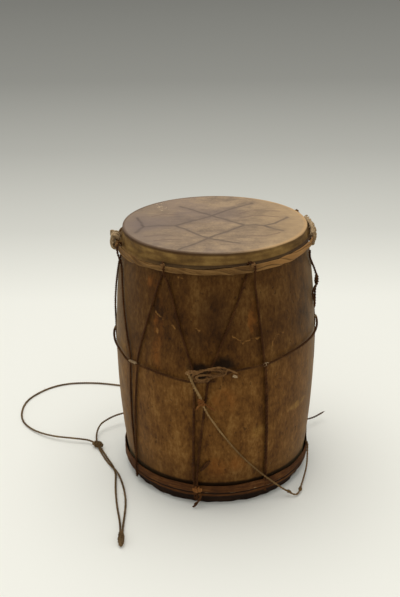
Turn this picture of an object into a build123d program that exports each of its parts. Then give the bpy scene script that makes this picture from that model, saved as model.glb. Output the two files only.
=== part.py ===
"""Barrel drum with two hide heads laced head to head, a waist cord and its loose cords.

Millimetres. The origin is the middle of the foot, +Z is up and the front is -Y.
Angles go round the drum in degrees from the front towards +X.
"""
from build123d import *
import math
import os

os.makedirs("parts", exist_ok=True)

# Shell
drum_height = 278.0
belly_radius = 106.5
belly_height = 135.0
upper_edge_radius = 94.0
lower_edge_radius = 96.5
shell_wall = 9.0
bearing_edge_round = 2.0

# Hides and the hoops inside their rolled edges
hide_thickness = 0.8
hide_gap = 0.1
hide_bend = 1.2
upper_band_height = 7.0
upper_hoop_drop = 9.4
upper_hoop_width = 6.4
upper_hoop_thickness = 1.8
lower_band_height = 7.3
lower_hoop_rise = 9.8
lower_hoop_width = 11.6
lower_hoop_thickness = 1.8
hoop_edge_round = 0.85
hoop_round_limit = 0.48
hide_tuck = 0.4
lacing_hole_radius = 1.8
lacing_hole_depth = 4.0

# Cords
cord_diameter = 2.1
cord_gap = 0.3
lace_gap = 0.6
crossing_gap = 0.4
waist_gap = 0.7
end_gap = 0.3
joint_gap = 0.15
lace_turn_width = 3.4
hoop_clear_run = 12.6
upright_run = 6.3
corner_share = 0.45
spot_step = 0.8

# Lacing angles, heights and spreads, taken one by one from the object
lace_top_angle = {1: -73.0, 2: -30.0, 3: 20.0, 5: 119.0, 6: 171.0, 7: 229.0}
waist_angle = {0: -101.0, 1: -50.0, 2: -9.0, 3: 27.0, 4: 94.0, 5: 145.0, 6: 200.0}
waist_height = {0: 157.0, 1: 152.0, 2: 150.0, 3: 165.0, 4: 165.7, 5: 157.0, 6: 154.5}
pair_spread = {0: 5.0, 1: 5.0, 2: 8.0, 3: 2.8, 4: 3.0, 5: 5.0, 6: 5.0}
stem_foot_angle = {0: -104.0, 1: -55.0, 2: -12.0, 3: 32.0, 4: 97.0, 5: 148.0, 6: 197.0}

# Bound turns on the upper hoop
right_lashing_angles = (74.0, 108.0)
right_lashing_turns = 5
left_lashing_angles = (-93.0, -83.0)
left_lashing_turns = 3
left_lashing_reach = 3.0
slit_margin = 2.5

# Waist cord and its spare length, folded at the front
waist_round_off = 1.0
hank_turns = 3
hank_half_run = 17.0
hank_half_height = 5.5
hank_pitch = 2.6
hank_center_x = -1.5
hank_center_z = 158.0

# Front knot and the hitch of the carrying cord, both on the lower hoop
front_knot_angle = -12.0
front_knot_height = 19.0
front_tail_diameter = 3.2
carry_hitch_angle = -139.0
carry_hitch_height = 13.0

# Knots: length along the cord and largest radius, and the number of turns
knot_neck_share = 0.72
wrap_knot_size = (6.0, 2.2)
wrap_knot_turns = 3
tie_knot_size = (5.0, 2.0)
tie_knot_turns = 2
lace_knot_size = (7.0, 2.2)
lace_knot_turns = 3
front_knot_size = (10.0, 3.2)
front_knot_turns = 3
hitch_knot_size = (11.0, 3.0)
hitch_knot_turns = 3
carry_knot_size = (9.0, 3.5)
carry_knot_turns = 3
end_knot_size = (21.0, 3.0)
end_knot_turns = 6

# Values that follow from the sizes above
cord_radius = cord_diameter / 2
shell_top = drum_height - hide_thickness
shell_bottom = hide_thickness


def shell_radius(height):
    """Outer radius of the shell: two arcs that meet upright at the belly."""
    if height > belly_height:
        rise = shell_top - belly_height
        draw_in = belly_radius - upper_edge_radius
    else:
        rise = belly_height - shell_bottom
        draw_in = belly_radius - lower_edge_radius
    curvature = 2 * draw_in / (rise ** 2 + draw_in ** 2)
    offset = height - belly_height
    return belly_radius - curvature * offset ** 2 / (1 + math.sqrt(1 - (curvature * offset) ** 2))


def polar(angle, radius, height):
    """Point at an angle round the drum, a radius and a height."""
    turn = math.radians(angle)
    return (radius * math.sin(turn), -radius * math.cos(turn), height)


def lace_radius(height):
    """Radius of the middle of a lace that lies on the shell."""
    return shell_radius(height) + lace_gap + cord_radius


def spread_angle(width, radius):
    """Angle that a width covers at a radius."""
    return math.degrees(width / radius)


# Upper hoop, its hide and the way of a cord round it
upper_hoop_high = drum_height - upper_hoop_drop
upper_hoop_low = upper_hoop_high - upper_hoop_width
upper_cord_low = upper_hoop_low - hide_gap - hide_thickness - cord_gap - cord_radius
upper_hoop_inner = shell_radius(upper_cord_low) + cord_diameter + 2 * cord_gap
upper_hoop_outer = upper_hoop_inner + upper_hoop_thickness
upper_roll_outer = upper_hoop_outer + hide_gap + hide_thickness
upper_flare = drum_height - upper_band_height
upper_cord_high = upper_flare + hide_thickness
upper_cord_back = upper_hoop_inner - cord_gap - cord_radius
upper_cord_front = upper_roll_outer + cord_gap + cord_radius

# Lower hoop, the same way
lower_hoop_low = lower_hoop_rise
lower_hoop_high = lower_hoop_low + lower_hoop_width
lower_cord_high = lower_hoop_high + hide_gap + hide_thickness + cord_gap + cord_radius
lower_hoop_inner = shell_radius(lower_cord_high) + cord_diameter + 2 * cord_gap
lower_hoop_outer = lower_hoop_inner + lower_hoop_thickness
lower_roll_outer = lower_hoop_outer + hide_gap + hide_thickness
lower_flare = lower_band_height
lower_cord_low = lower_flare - hide_thickness
lower_cord_back = lower_hoop_inner - cord_gap - cord_radius
lower_cord_front = lower_roll_outer + cord_gap + cord_radius


def corner_radii(points):
    """Radius of each corner: a share of the shorter run over the tangent of half the turn."""
    radii = []
    for before, corner, after in zip(points, points[1:], points[2:]):
        first = Vector(corner) - Vector(before)
        second = Vector(after) - Vector(corner)
        half_turn = math.radians(first.get_angle(second)) / 2
        radii.append(corner_share * min(first.length, second.length) / math.tan(half_turn))
    return radii


def make_tube(name, points, diameter=cord_diameter):
    """A cord of round section along straight runs joined by tangent arcs."""
    radii = corner_radii(points)
    with BuildPart() as tube:
        with BuildLine() as route:
            FilletPolyline(*points, radius=radii)
        with BuildSketch(Plane(route.line @ 0, z_dir=route.line % 0)):
            Circle(diameter / 2)
        sweep()
    tube.part.label = name
    export_step(tube.part, f"parts/{name}.step")
    length = route.wire().length
    expected = math.pi * diameter ** 2 / 4 * length
    radius_list = ", ".join(f"{radius:.0f}" for radius in radii)
    print(f"{name}: length {length:.1f}, volume {tube.part.volume:.0f} of {expected:.0f}")
    print(f"{name}: corner radii {radius_list}")
    return route.wire()


def make_knot(name, center, direction, size, turns):
    """A knot as a short barrel of wound turns, with a flat face at each end of its axis."""
    length, largest = size
    neck = largest * knot_neck_share
    width = length / turns
    axis_direction = Vector(direction).normalized()
    side = Vector(0, 0, 1).cross(axis_direction)
    if side.length < 0.1:
        side = Vector(1, 0, 0)
    with BuildPart() as knot:
        with BuildSketch(Plane(center, x_dir=axis_direction, z_dir=side)):
            with BuildLine():
                Line((-length / 2, 0), (-length / 2, neck))
                for turn in range(turns):
                    start = -length / 2 + turn * width
                    ThreePointArc((start, neck), (start + width / 2, largest), (start + width, neck))
                Line((length / 2, neck), (length / 2, 0))
                Line((length / 2, 0), (-length / 2, 0))
            make_face()
        revolve(axis=Axis(center, axis_direction))
    knot.part.label = name
    export_step(knot.part, f"parts/{name}.step")


def coil_points(angles, turns, inner, outer, low, high):
    """Corners of a cord wound round a hoop: down the front, under, up the back and over."""
    corners = [(outer, high), (outer, low), (inner, low), (inner, high)]
    steps = 4 * turns + 1
    points = []
    for step in range(steps + 1):
        angle = angles[0] + (angles[1] - angles[0]) * step / steps
        radius, height = corners[step % 4]
        points.append(polar(angle, radius, height))
    return points


def least_self_gap(path, diameter, apart):
    """Least gap of a cord to itself, measured on points that lie further apart along it than a length."""
    count = int(path.length / spot_step)
    spots = [path @ (index / count) for index in range(count + 1)]
    skip = int(apart / spot_step)
    least = min(
        (spots[first] - spots[second]).length
        for first in range(count + 1)
        for second in range(first + skip, count + 1)
    )
    return least - diameter


# Shell: a hollowed barrel with rounded bearing edges
upper_middle = (belly_height + shell_top) / 2
lower_middle = (belly_height + shell_bottom) / 2
with BuildPart() as shell:
    with BuildSketch(Plane.XZ):
        with BuildLine():
            ThreePointArc(
                (upper_edge_radius, shell_top),
                (shell_radius(upper_middle), upper_middle),
                (belly_radius, belly_height),
            )
            ThreePointArc(
                (belly_radius, belly_height),
                (shell_radius(lower_middle), lower_middle),
                (lower_edge_radius, shell_bottom),
            )
            Line((lower_edge_radius, shell_bottom), (lower_edge_radius - shell_wall, shell_bottom))
            ThreePointArc(
                (lower_edge_radius - shell_wall, shell_bottom),
                (shell_radius(lower_middle) - shell_wall, lower_middle),
                (belly_radius - shell_wall, belly_height),
            )
            ThreePointArc(
                (belly_radius - shell_wall, belly_height),
                (shell_radius(upper_middle) - shell_wall, upper_middle),
                (upper_edge_radius - shell_wall, shell_top),
            )
            Line((upper_edge_radius - shell_wall, shell_top), (upper_edge_radius, shell_top))
        make_face()
    revolve(axis=Axis.Z)
    upper_rims = shell.edges().filter_by(GeomType.CIRCLE).group_by(Axis.Z)[-1]
    lower_rims = shell.edges().filter_by(GeomType.CIRCLE).group_by(Axis.Z)[0]
    bearing_edges = [upper_rims.sort_by(SortBy.RADIUS)[-1], lower_rims.sort_by(SortBy.RADIUS)[-1]]
    fillet(bearing_edges, min(bearing_edge_round, shell_wall / 3))
shell.part.label = "shell"
export_step(shell.part, "parts/shell.step")

# Upper hide: the played disc, the side band, the flare over the hoop and the rolled edge
upper_section = [
    (0, drum_height - hide_thickness / 2),
    (upper_edge_radius + hide_gap + hide_thickness / 2, drum_height - hide_thickness / 2),
    (shell_radius(upper_flare) + hide_gap + hide_thickness / 2, upper_flare),
    (upper_roll_outer - hide_thickness / 2, upper_hoop_high + hide_gap + hide_thickness / 2),
    (upper_roll_outer - hide_thickness / 2, upper_hoop_low - hide_gap - hide_thickness / 2),
    (upper_hoop_inner + hide_tuck, upper_hoop_low - hide_gap - hide_thickness / 2),
]
upper_hole_ring = upper_cord_back + hide_tuck
with BuildPart() as upper_skin:
    with BuildSketch(Plane.XZ):
        with BuildLine():
            FilletPolyline(*upper_section, radius=[hide_bend] * (len(upper_section) - 2))
        trace(line_width=hide_thickness)
    revolve(axis=Axis.Z)
    for top_angle in lace_top_angle.values():
        hole_angle = top_angle - spread_angle(lace_turn_width / 2, upper_cord_back)
        with Locations(polar(hole_angle, upper_hole_ring, upper_flare)):
            Cylinder(lacing_hole_radius, lacing_hole_depth, mode=Mode.SUBTRACT)
    for first_angle, last_angle in (right_lashing_angles, left_lashing_angles):
        slit_start = math.radians(first_angle - slit_margin)
        radial = Vector(math.sin(slit_start), -math.cos(slit_start), 0)
        slit_plane = Plane((0, 0, 0), x_dir=radial, z_dir=radial.cross(Vector(0, 0, 1)))
        with BuildSketch(slit_plane):
            with Locations((upper_hole_ring, upper_flare)):
                Rectangle(2 * lacing_hole_radius, lacing_hole_depth)
        slit_span = last_angle - first_angle + 2 * slit_margin
        revolve(axis=Axis.Z, revolution_arc=slit_span, mode=Mode.SUBTRACT)
upper_skin.part.label = "upper_skin"
export_step(upper_skin.part, "parts/upper_skin.step")

# Lower hide, rolled the same way and pierced for the stems and the carrying cord
lower_section = [
    (0, hide_thickness / 2),
    (lower_edge_radius + hide_gap + hide_thickness / 2, hide_thickness / 2),
    (shell_radius(lower_flare) + hide_gap + hide_thickness / 2, lower_flare),
    (lower_roll_outer - hide_thickness / 2, lower_hoop_low - hide_gap - hide_thickness / 2),
    (lower_roll_outer - hide_thickness / 2, lower_hoop_high + hide_gap + hide_thickness / 2),
    (lower_hoop_inner + hide_tuck, lower_hoop_high + hide_gap + hide_thickness / 2),
]
lower_hole_ring = lower_cord_back + hide_tuck
with BuildPart() as lower_skin:
    with BuildSketch(Plane.XZ):
        with BuildLine():
            FilletPolyline(*lower_section, radius=[hide_bend] * (len(lower_section) - 2))
        trace(line_width=hide_thickness)
    revolve(axis=Axis.Z)
    stem_turn = spread_angle(lace_turn_width / 2, lower_cord_back)
    hole_angles = [foot_angle - stem_turn for foot_angle in stem_foot_angle.values()]
    for hole_angle in hole_angles + [carry_hitch_angle]:
        with Locations(polar(hole_angle, lower_hole_ring, lower_flare)):
            Cylinder(lacing_hole_radius, lacing_hole_depth, mode=Mode.SUBTRACT)
lower_skin.part.label = "lower_skin"
export_step(lower_skin.part, "parts/lower_skin.step")

# Flesh hoops: split-cane strips inside the rolled edges
hoop_sections = {
    "upper_flesh_hoop": (upper_hoop_inner, upper_hoop_thickness, upper_hoop_low, upper_hoop_width),
    "lower_flesh_hoop": (lower_hoop_inner, lower_hoop_thickness, lower_hoop_low, lower_hoop_width),
}
for hoop_name, (hoop_inner, hoop_thickness, hoop_low, hoop_width) in hoop_sections.items():
    edge_round = min(hoop_edge_round, hoop_round_limit * hoop_thickness)
    with BuildPart() as hoop:
        with BuildSketch(Plane.XZ):
            with Locations((hoop_inner + hoop_thickness / 2, hoop_low + hoop_width / 2)):
                RectangleRounded(hoop_thickness, hoop_width, edge_round)
        revolve(axis=Axis.Z)
    hoop.part.label = hoop_name
    export_step(hoop.part, f"parts/{hoop_name}.step")


def leg_points(top_angle, foot_angle, top_height, foot_height):
    """Points down the shell from below the hoop to a short upright run at the waist."""
    upright = foot_height + upright_run
    points = []
    for share in (0.0, 0.25, 0.5, 0.75, 1.0):
        angle = top_angle + (foot_angle - top_angle) * share
        height = top_height + (upright - top_height) * share
        points.append(polar(angle, lace_radius(height), height))
    points.append(polar(foot_angle, lace_radius(foot_height), foot_height))
    return points


# Upper laces: each comes up behind the hoop, out of its hole, over the roll and down the front
for number, top_angle in lace_top_angle.items():
    left = number - 1
    right = number % 7
    back_angle = top_angle - spread_angle(lace_turn_width / 2, upper_cord_back)
    front_angle = top_angle + spread_angle(lace_turn_width / 2, upper_cord_front)
    left_half = spread_angle(pair_spread[left] / 2, belly_radius)
    right_half = spread_angle(pair_spread[right] / 2, belly_radius)
    left_angle = waist_angle[left] + left_half
    right_angle = waist_angle[right] - right_half
    if left_angle > top_angle:
        left_angle = left_angle - 360
    if right_angle < top_angle:
        right_angle = right_angle + 360
    below_hoop = upper_cord_low - hoop_clear_run
    left_leg = leg_points(back_angle, left_angle, below_hoop, waist_height[left])
    right_leg = leg_points(front_angle, right_angle, below_hoop, waist_height[right])
    turn_points = [
        polar(back_angle, upper_cord_back, upper_cord_low),
        polar(back_angle, upper_cord_back, upper_cord_high),
        polar(front_angle, upper_cord_front, upper_cord_high),
        polar(front_angle, upper_cord_front, upper_cord_low),
    ]
    make_tube(f"lace_{number}", left_leg[::-1] + turn_points + right_leg)


def stem_points(top_angle, foot_angle, top_height, foot_height):
    """Points of one strand down the shell from the waist."""
    points = []
    for share in (0.0, 0.25, 0.5, 0.75, 1.0):
        angle = top_angle + (foot_angle - top_angle) * share
        height = top_height + (foot_height - top_height) * share
        points.append(polar(angle, lace_radius(height), height))
    return points


# Stems: two strands of each pair go down from the waist and turn round the lower hoop
for number, foot_angle in stem_foot_angle.items():
    half_pair = spread_angle(pair_spread[number] / 2, belly_radius)
    back_angle = foot_angle - spread_angle(lace_turn_width / 2, lower_cord_back)
    front_angle = foot_angle + spread_angle(lace_turn_width / 2, lower_cord_front)
    top_height = waist_height[number] - joint_gap
    above_hoop = lower_cord_high + hoop_clear_run
    back_strand = stem_points(waist_angle[number] - half_pair, back_angle, top_height, above_hoop)
    front_strand = stem_points(waist_angle[number] + half_pair, front_angle, top_height, above_hoop)
    turn_points = [
        polar(back_angle, lower_cord_back, lower_cord_high),
        polar(back_angle, lower_cord_back, lower_cord_low),
        polar(front_angle, lower_cord_front, lower_cord_low),
        polar(front_angle, lower_cord_front, lower_cord_high),
    ]
    make_tube(f"stem_{number}", back_strand + turn_points + front_strand[::-1])

# Bound turns over the upper hoop
right_turns = coil_points(
    right_lashing_angles,
    right_lashing_turns,
    upper_cord_back,
    upper_cord_front,
    upper_cord_low,
    upper_cord_high,
)
right_lashing = make_tube("upper_lashing_right", right_turns)
left_turns = coil_points(
    left_lashing_angles,
    left_lashing_turns,
    upper_cord_back,
    upper_cord_front + left_lashing_reach,
    upper_cord_low - left_lashing_reach / 2,
    upper_cord_high + left_lashing_reach / 2,
)
left_lashing = make_tube("upper_lashing_left", left_turns)
turn_apart = 4 * cord_diameter
right_gap = least_self_gap(right_lashing, cord_diameter, turn_apart)
left_gap = least_self_gap(left_lashing, cord_diameter, turn_apart)
print(f"upper_lashing_right: least gap to itself {right_gap:.2f}")
print(f"upper_lashing_left: least gap to itself {left_gap:.2f}")

# Waist cord: angle, height and whether it passes over a pair of laces there
waist_route = [
    (3.0, 157.0, False),
    (14.0, 161.5, False),
    (24.6, 164.6, True),
    (29.4, 165.4, True),
    (41.0, 169.5, False),
    (52.0, 170.5, False),
    (63.0, 170.3, False),
    (77.0, 168.6, False),
    (91.6, 166.0, True),
    (96.4, 165.4, True),
    (108.0, 163.0, False),
    (120.0, 160.4, False),
    (132.0, 158.6, False),
    (142.4, 157.2, True),
    (147.6, 156.8, True),
    (160.0, 155.8, False),
    (173.0, 155.1, False),
    (186.0, 154.6, False),
    (197.4, 154.4, True),
    (202.6, 154.6, True),
    (215.0, 154.9, False),
    (229.0, 155.7, False),
    (243.0, 156.5, False),
    (256.4, 157.0, True),
    (261.6, 157.0, True),
    (272.0, 157.3, False),
    (284.0, 156.8, False),
    (296.0, 155.4, False),
    (307.4, 152.6, True),
    (312.6, 151.4, True),
    (324.0, 150.2, False),
    (335.0, 149.7, False),
    (346.6, 149.6, True),
    (355.4, 150.6, True),
    (359.0, 151.6, True),
]
waist_points = []
for angle, height, over_laces in waist_route:
    if over_laces:
        radius = lace_radius(height) + cord_diameter + crossing_gap
    else:
        radius = belly_radius + waist_gap + cord_radius + waist_round_off
    waist_points.append(polar(angle, radius, height))
make_tube("waist_cord", waist_points)

# Hank: flat loops of the spare cord, each run along X with a half turn at its ends
hank_inner = lace_radius(hank_center_z) + 2 * cord_diameter + 2 * crossing_gap
with BuildPart() as waist_hank:
    with BuildLine() as hank_route:
        for run in range(2 * hank_turns):
            side = 1 if run % 2 == 0 else -1
            depth = -hank_inner - run * hank_pitch / 2
            height = hank_center_z + side * hank_half_height
            run_start = (hank_center_x - side * hank_half_run, depth, height)
            run_end = (hank_center_x + side * hank_half_run, depth, height)
            Line(run_start, run_end)
            if run < 2 * hank_turns - 1:
                next_start = (run_end[0], depth - hank_pitch / 2, hank_center_z - side * hank_half_height)
                bulge = math.hypot(hank_half_height, hank_pitch / 4)
                middle = (run_end[0] + side * bulge, depth - hank_pitch / 4, hank_center_z)
                ThreePointArc(run_end, middle, next_start)
    with BuildSketch(Plane(hank_route.line @ 0, z_dir=hank_route.line % 0)):
        Circle(cord_radius)
    sweep()
waist_hank.part.label = "waist_hank"
export_step(waist_hank.part, "parts/waist_hank.step")
hank_path = hank_route.wire()
hank_gap = least_self_gap(hank_path, cord_diameter, hank_pitch * 4)
hank_volume = math.pi * cord_radius ** 2 * hank_path.length
print(f"waist_hank: length {hank_path.length:.1f}, least gap to itself {hank_gap:.2f}")
print(f"waist_hank: volume {waist_hank.part.volume:.0f} of {hank_volume:.0f}")


def over_shell(angle, lift, height):
    """Point of a cord whose middle stands a lift above the shell."""
    return polar(angle, shell_radius(height) + lift, height)


# Tie cord: from the hank, round a stem, down the front, over the lower hoop and back up to it
cord_level = lace_gap + cord_radius
make_tube(
    "tie_cord_upper",
    [
        over_shell(-12.96, 12.40, 156.5),
        over_shell(-12.89, 10.17, 149.5),
        over_shell(-11.72, 7.71, 142.0),
        over_shell(-9.62, 5.98, 135.5),
        over_shell(-8.17, 5.35, 130.2),
    ],
)
tie_wrap_center = over_shell(-7.36, 5.16, 126.9)
make_knot("tie_wrap_knot", tie_wrap_center, (0.5, -0.05, -1.0), wrap_knot_size, wrap_knot_turns)
make_tube(
    "tie_cord",
    [
        over_shell(-6.55, 4.90, 123.6),
        over_shell(-4.35, 4.41, 116.6),
        over_shell(-0.6, 2.2, 106.0),
        over_shell(3.6, cord_level, 92.5),
        over_shell(8.2, cord_level, 76.5),
        over_shell(13.4, cord_level, 61.5),
        over_shell(18.8, cord_level, 48.5),
        over_shell(24.2, cord_level + 1.5, 37.5),
        polar(28.8, 107.8, 29.5),
        polar(32.6, 109.8, 24.0),
        polar(36.6, 110.6, 18.2),
        polar(40.2, 112.6, 12.2),
        polar(42.4, 114.9, 8.1),
    ],
)
make_knot("tie_knot_front", (80.6, -85.0, 6.3), (0.86, -0.24, -0.45), tie_knot_size, tie_knot_turns)
make_tube(
    "tie_cord_bend",
    [(83.0, -85.7, 5.1), (86.6, -87.2, 3.4), (90.8, -86.2, 3.2), (92.6, -82.2, 3.8), (93.0, -78.6, 4.8)],
)
make_knot("tie_knot_side", (93.4, -75.9, 5.6), (0.16, 0.94, 0.28), tie_knot_size, tie_knot_turns)
make_tube(
    "tie_cord_return",
    [
        (93.9, -73.2, 6.5),
        (96.2, -62.6, 8.0),
        (99.8, -51.0, 9.5),
        (102.4, -40.0, 12.2),
        polar(73.5, lower_cord_front + 0.6, 17.5),
        polar(76.5, lower_cord_front, lower_cord_high),
        polar(79.0, lower_cord_back, lower_cord_high),
        polar(80.5, lower_cord_back, lower_cord_high - 5.0),
    ],
)

# Front knot on the lower hoop, over the stem that turns there
front_knot_radius = lower_cord_front + cord_radius + cord_gap + front_knot_size[1]
front_turn = math.radians(front_knot_angle)
make_knot(
    "front_knot",
    polar(front_knot_angle, front_knot_radius, front_knot_height),
    (math.cos(front_turn), math.sin(front_turn), 0),
    front_knot_size,
    front_knot_turns,
)
front_tail_start = front_knot_height - front_knot_size[1] - end_gap
make_tube(
    "front_tail",
    [
        polar(front_knot_angle, front_knot_radius, front_tail_start),
        polar(front_knot_angle + 0.3, front_knot_radius + 0.5, front_tail_start - 5.0),
        polar(front_knot_angle + 0.2, front_knot_radius + 0.2, front_tail_start - 9.5),
        polar(front_knot_angle - 0.2, front_knot_radius + 1.0, front_tail_start - 13.0),
    ],
    front_tail_diameter,
)

# Broken lace: hangs from the bound turns at the right, with a knot near its end
make_tube(
    "broken_lace",
    [
        polar(76.4, 100.8, upper_cord_low - cord_radius - end_gap),
        polar(77.6, 100.3, 252.0),
        polar(79.6, 101.2, 244.5),
        polar(81.6, 103.6, 236.0),
        polar(82.8, 106.2, 227.5),
        polar(83.2, 107.6, 219.4),
    ],
)
make_knot("broken_lace_knot", polar(83.2, 107.9, 215.5), (0, 0, -1), lace_knot_size, lace_knot_turns)
make_tube(
    "broken_lace_end",
    [
        polar(83.2, 108.0, 211.6),
        polar(83.0, 107.4, 205.0),
        polar(82.8, 106.8, 198.0),
        polar(83.2, 107.0, 190.0),
    ],
)

# Carrying cord: a hitch on the lower hoop, two strands to a knot and two tails to an end knot
hitch_turn = math.radians(carry_hitch_angle)
hitch_knot_radius = lower_cord_front + cord_radius + cord_gap + hitch_knot_size[1]
make_tube(
    "carry_hitch",
    [
        polar(carry_hitch_angle - 2.0, lower_cord_front, carry_hitch_height),
        polar(carry_hitch_angle - 1.5, lower_cord_front, lower_cord_high),
        polar(carry_hitch_angle - 0.6, lower_cord_back, lower_cord_high),
        polar(carry_hitch_angle, lower_cord_back, lower_cord_low),
        polar(carry_hitch_angle + 0.6, lower_cord_front, lower_cord_low),
        polar(carry_hitch_angle + 1.0, lower_cord_front, carry_hitch_height),
    ],
)
make_knot(
    "carry_hitch_knot",
    polar(carry_hitch_angle, hitch_knot_radius, carry_hitch_height),
    (math.cos(hitch_turn), math.sin(hitch_turn), 0),
    hitch_knot_size,
    hitch_knot_turns,
)
make_tube(
    "carry_cord_outer",
    [
        (-68.0, 88.6, 12.0),
        (-66.0, 98.0, 9.5),
        (-67.5, 112.0, 5.5),
        (-73.0, 128.0, 2.4),
        (-83.0, 143.5, 1.4),
        (-98.0, 155.0, 1.2),
        (-117.0, 162.0, 1.2),
        (-139.0, 165.8, 1.2),
        (-161.0, 166.6, 1.2),
        (-184.0, 162.4, 1.2),
        (-205.0, 150.0, 1.2),
        (-222.0, 130.0, 1.2),
        (-233.6, 107.0, 1.2),
        (-237.8, 86.0, 1.2),
        (-232.0, 66.0, 1.2),
        (-217.0, 50.4, 1.2),
        (-196.0, 38.8, 1.4),
        (-172.0, 31.4, 2.0),
        (-153.0, 26.2, 2.8),
        (-138.3, 19.1, 3.5),
    ],
)
make_tube(
    "carry_cord_inner",
    [
        (-77.3, 79.6, 13.0),
        (-87.0, 76.2, 14.0),
        (-97.0, 71.6, 14.4),
        (-106.0, 64.6, 13.6),
        (-117.0, 59.8, 11.0),
        (-126.6, 52.0, 7.6),
        (-132.4, 40.6, 5.0),
        (-134.8, 29.0, 3.8),
        (-134.8, 21.4, 3.5),
    ],
)
make_knot("carry_knot", (-133.4, 16.4, 3.6), (0.34, -0.94, 0), carry_knot_size, carry_knot_turns)
make_tube(
    "carry_tail_left",
    [
        (-130.4, 12.0, 3.0),
        (-127.0, 5.0, 1.8),
        (-121.6, -6.4, 1.2),
        (-115.0, -19.6, 1.2),
        (-110.6, -33.0, 1.2),
        (-107.6, -47.0, 1.2),
        (-105.8, -62.0, 1.2),
        (-105.0, -77.0, 1.2),
        (-103.8, -94.0, 1.2),
        (-101.4, -111.0, 1.2),
        (-98.6, -128.0, 1.2),
        (-96.8, -140.0, 1.8),
        (-96.6, -149.4, 3.0),
    ],
)
make_tube(
    "carry_tail_right",
    [
        (-133.0, 11.2, 3.0),
        (-129.8, 4.0, 1.8),
        (-124.4, -7.6, 1.2),
        (-117.8, -20.8, 1.2),
        (-113.0, -33.0, 2.6),
        (-109.8, -41.0, 4.4),
        (-106.0, -50.0, 4.4),
        (-102.2, -60.0, 2.6),
        (-97.6, -76.0, 1.2),
        (-94.2, -93.0, 1.2),
        (-92.8, -110.0, 1.2),
        (-93.2, -126.0, 1.2),
        (-94.0, -140.0, 1.8),
        (-94.0, -149.4, 3.0),
    ],
)
make_knot("carry_end_knot", (-94.4, -160.4, 3.1), (0.09, -1, 0), end_knot_size, end_knot_turns)

# Rear tail: the stiff end of a cord that stands out from the lower hoop
make_tube(
    "rear_tail",
    [
        polar(117.0, lower_roll_outer + end_gap, 14.0),
        (102.0, 51.2, 12.4),
        (111.6, 55.8, 10.4),
        (121.4, 62.6, 10.0),
        (131.6, 71.4, 11.0),
    ],
)
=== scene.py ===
"""Looks of a laced barrel drum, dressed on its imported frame.

Lengths are written in millimetres and put into the meshes in metres. The frame's origin is the middle of
the foot, +Z is up and the front is -Y. Angles go round the drum in degrees from the front towards +X.
"""
import logging
import math
from dataclasses import dataclass, field
from enum import Enum
from typing import Any, Mapping, Optional, Sequence, Union

import bpy
import numpy as np
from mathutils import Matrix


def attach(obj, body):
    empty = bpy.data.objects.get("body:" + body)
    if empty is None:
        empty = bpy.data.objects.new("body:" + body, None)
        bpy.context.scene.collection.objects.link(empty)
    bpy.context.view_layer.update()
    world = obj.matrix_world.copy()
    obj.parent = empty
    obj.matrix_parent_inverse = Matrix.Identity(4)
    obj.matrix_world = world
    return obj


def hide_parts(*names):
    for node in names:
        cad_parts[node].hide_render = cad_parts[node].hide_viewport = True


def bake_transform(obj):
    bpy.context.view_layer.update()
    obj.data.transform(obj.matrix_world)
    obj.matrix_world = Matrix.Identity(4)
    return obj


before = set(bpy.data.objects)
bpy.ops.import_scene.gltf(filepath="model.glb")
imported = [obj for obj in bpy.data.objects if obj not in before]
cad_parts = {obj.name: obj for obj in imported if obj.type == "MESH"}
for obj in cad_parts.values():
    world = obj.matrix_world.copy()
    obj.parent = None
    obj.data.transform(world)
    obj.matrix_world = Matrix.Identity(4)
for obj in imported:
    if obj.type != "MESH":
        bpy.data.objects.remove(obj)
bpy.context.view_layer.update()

LOG = logging.getLogger("drum")
MM = 0.001
Array = np.ndarray
Colour = tuple[float, float, float]
Corner = tuple[float, float]
Line = Sequence[Corner]
Lines = tuple[tuple[Corner, ...], ...]
Spots = tuple[tuple[float, float, float, float], ...]
Route = tuple[tuple[float, float, float], ...]


class Body(str, Enum):
    """The two bodies of the frame."""

    DRUM = "drum"
    WAIST = "waist"


class Slot(str, Enum):
    """Names of material slots."""

    WOOD = "shell_wood"
    UPPER_HIDE = "upper_hide"
    LOWER_HIDE = "lower_hide"
    CANE = "hoop_cane"
    LACE = "lace_cord"
    WAIST = "waist_cord"
    TIE = "tie_cord"
    CARRY = "carry_cord"
    BAST = "bast"


# Shader maths


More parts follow.
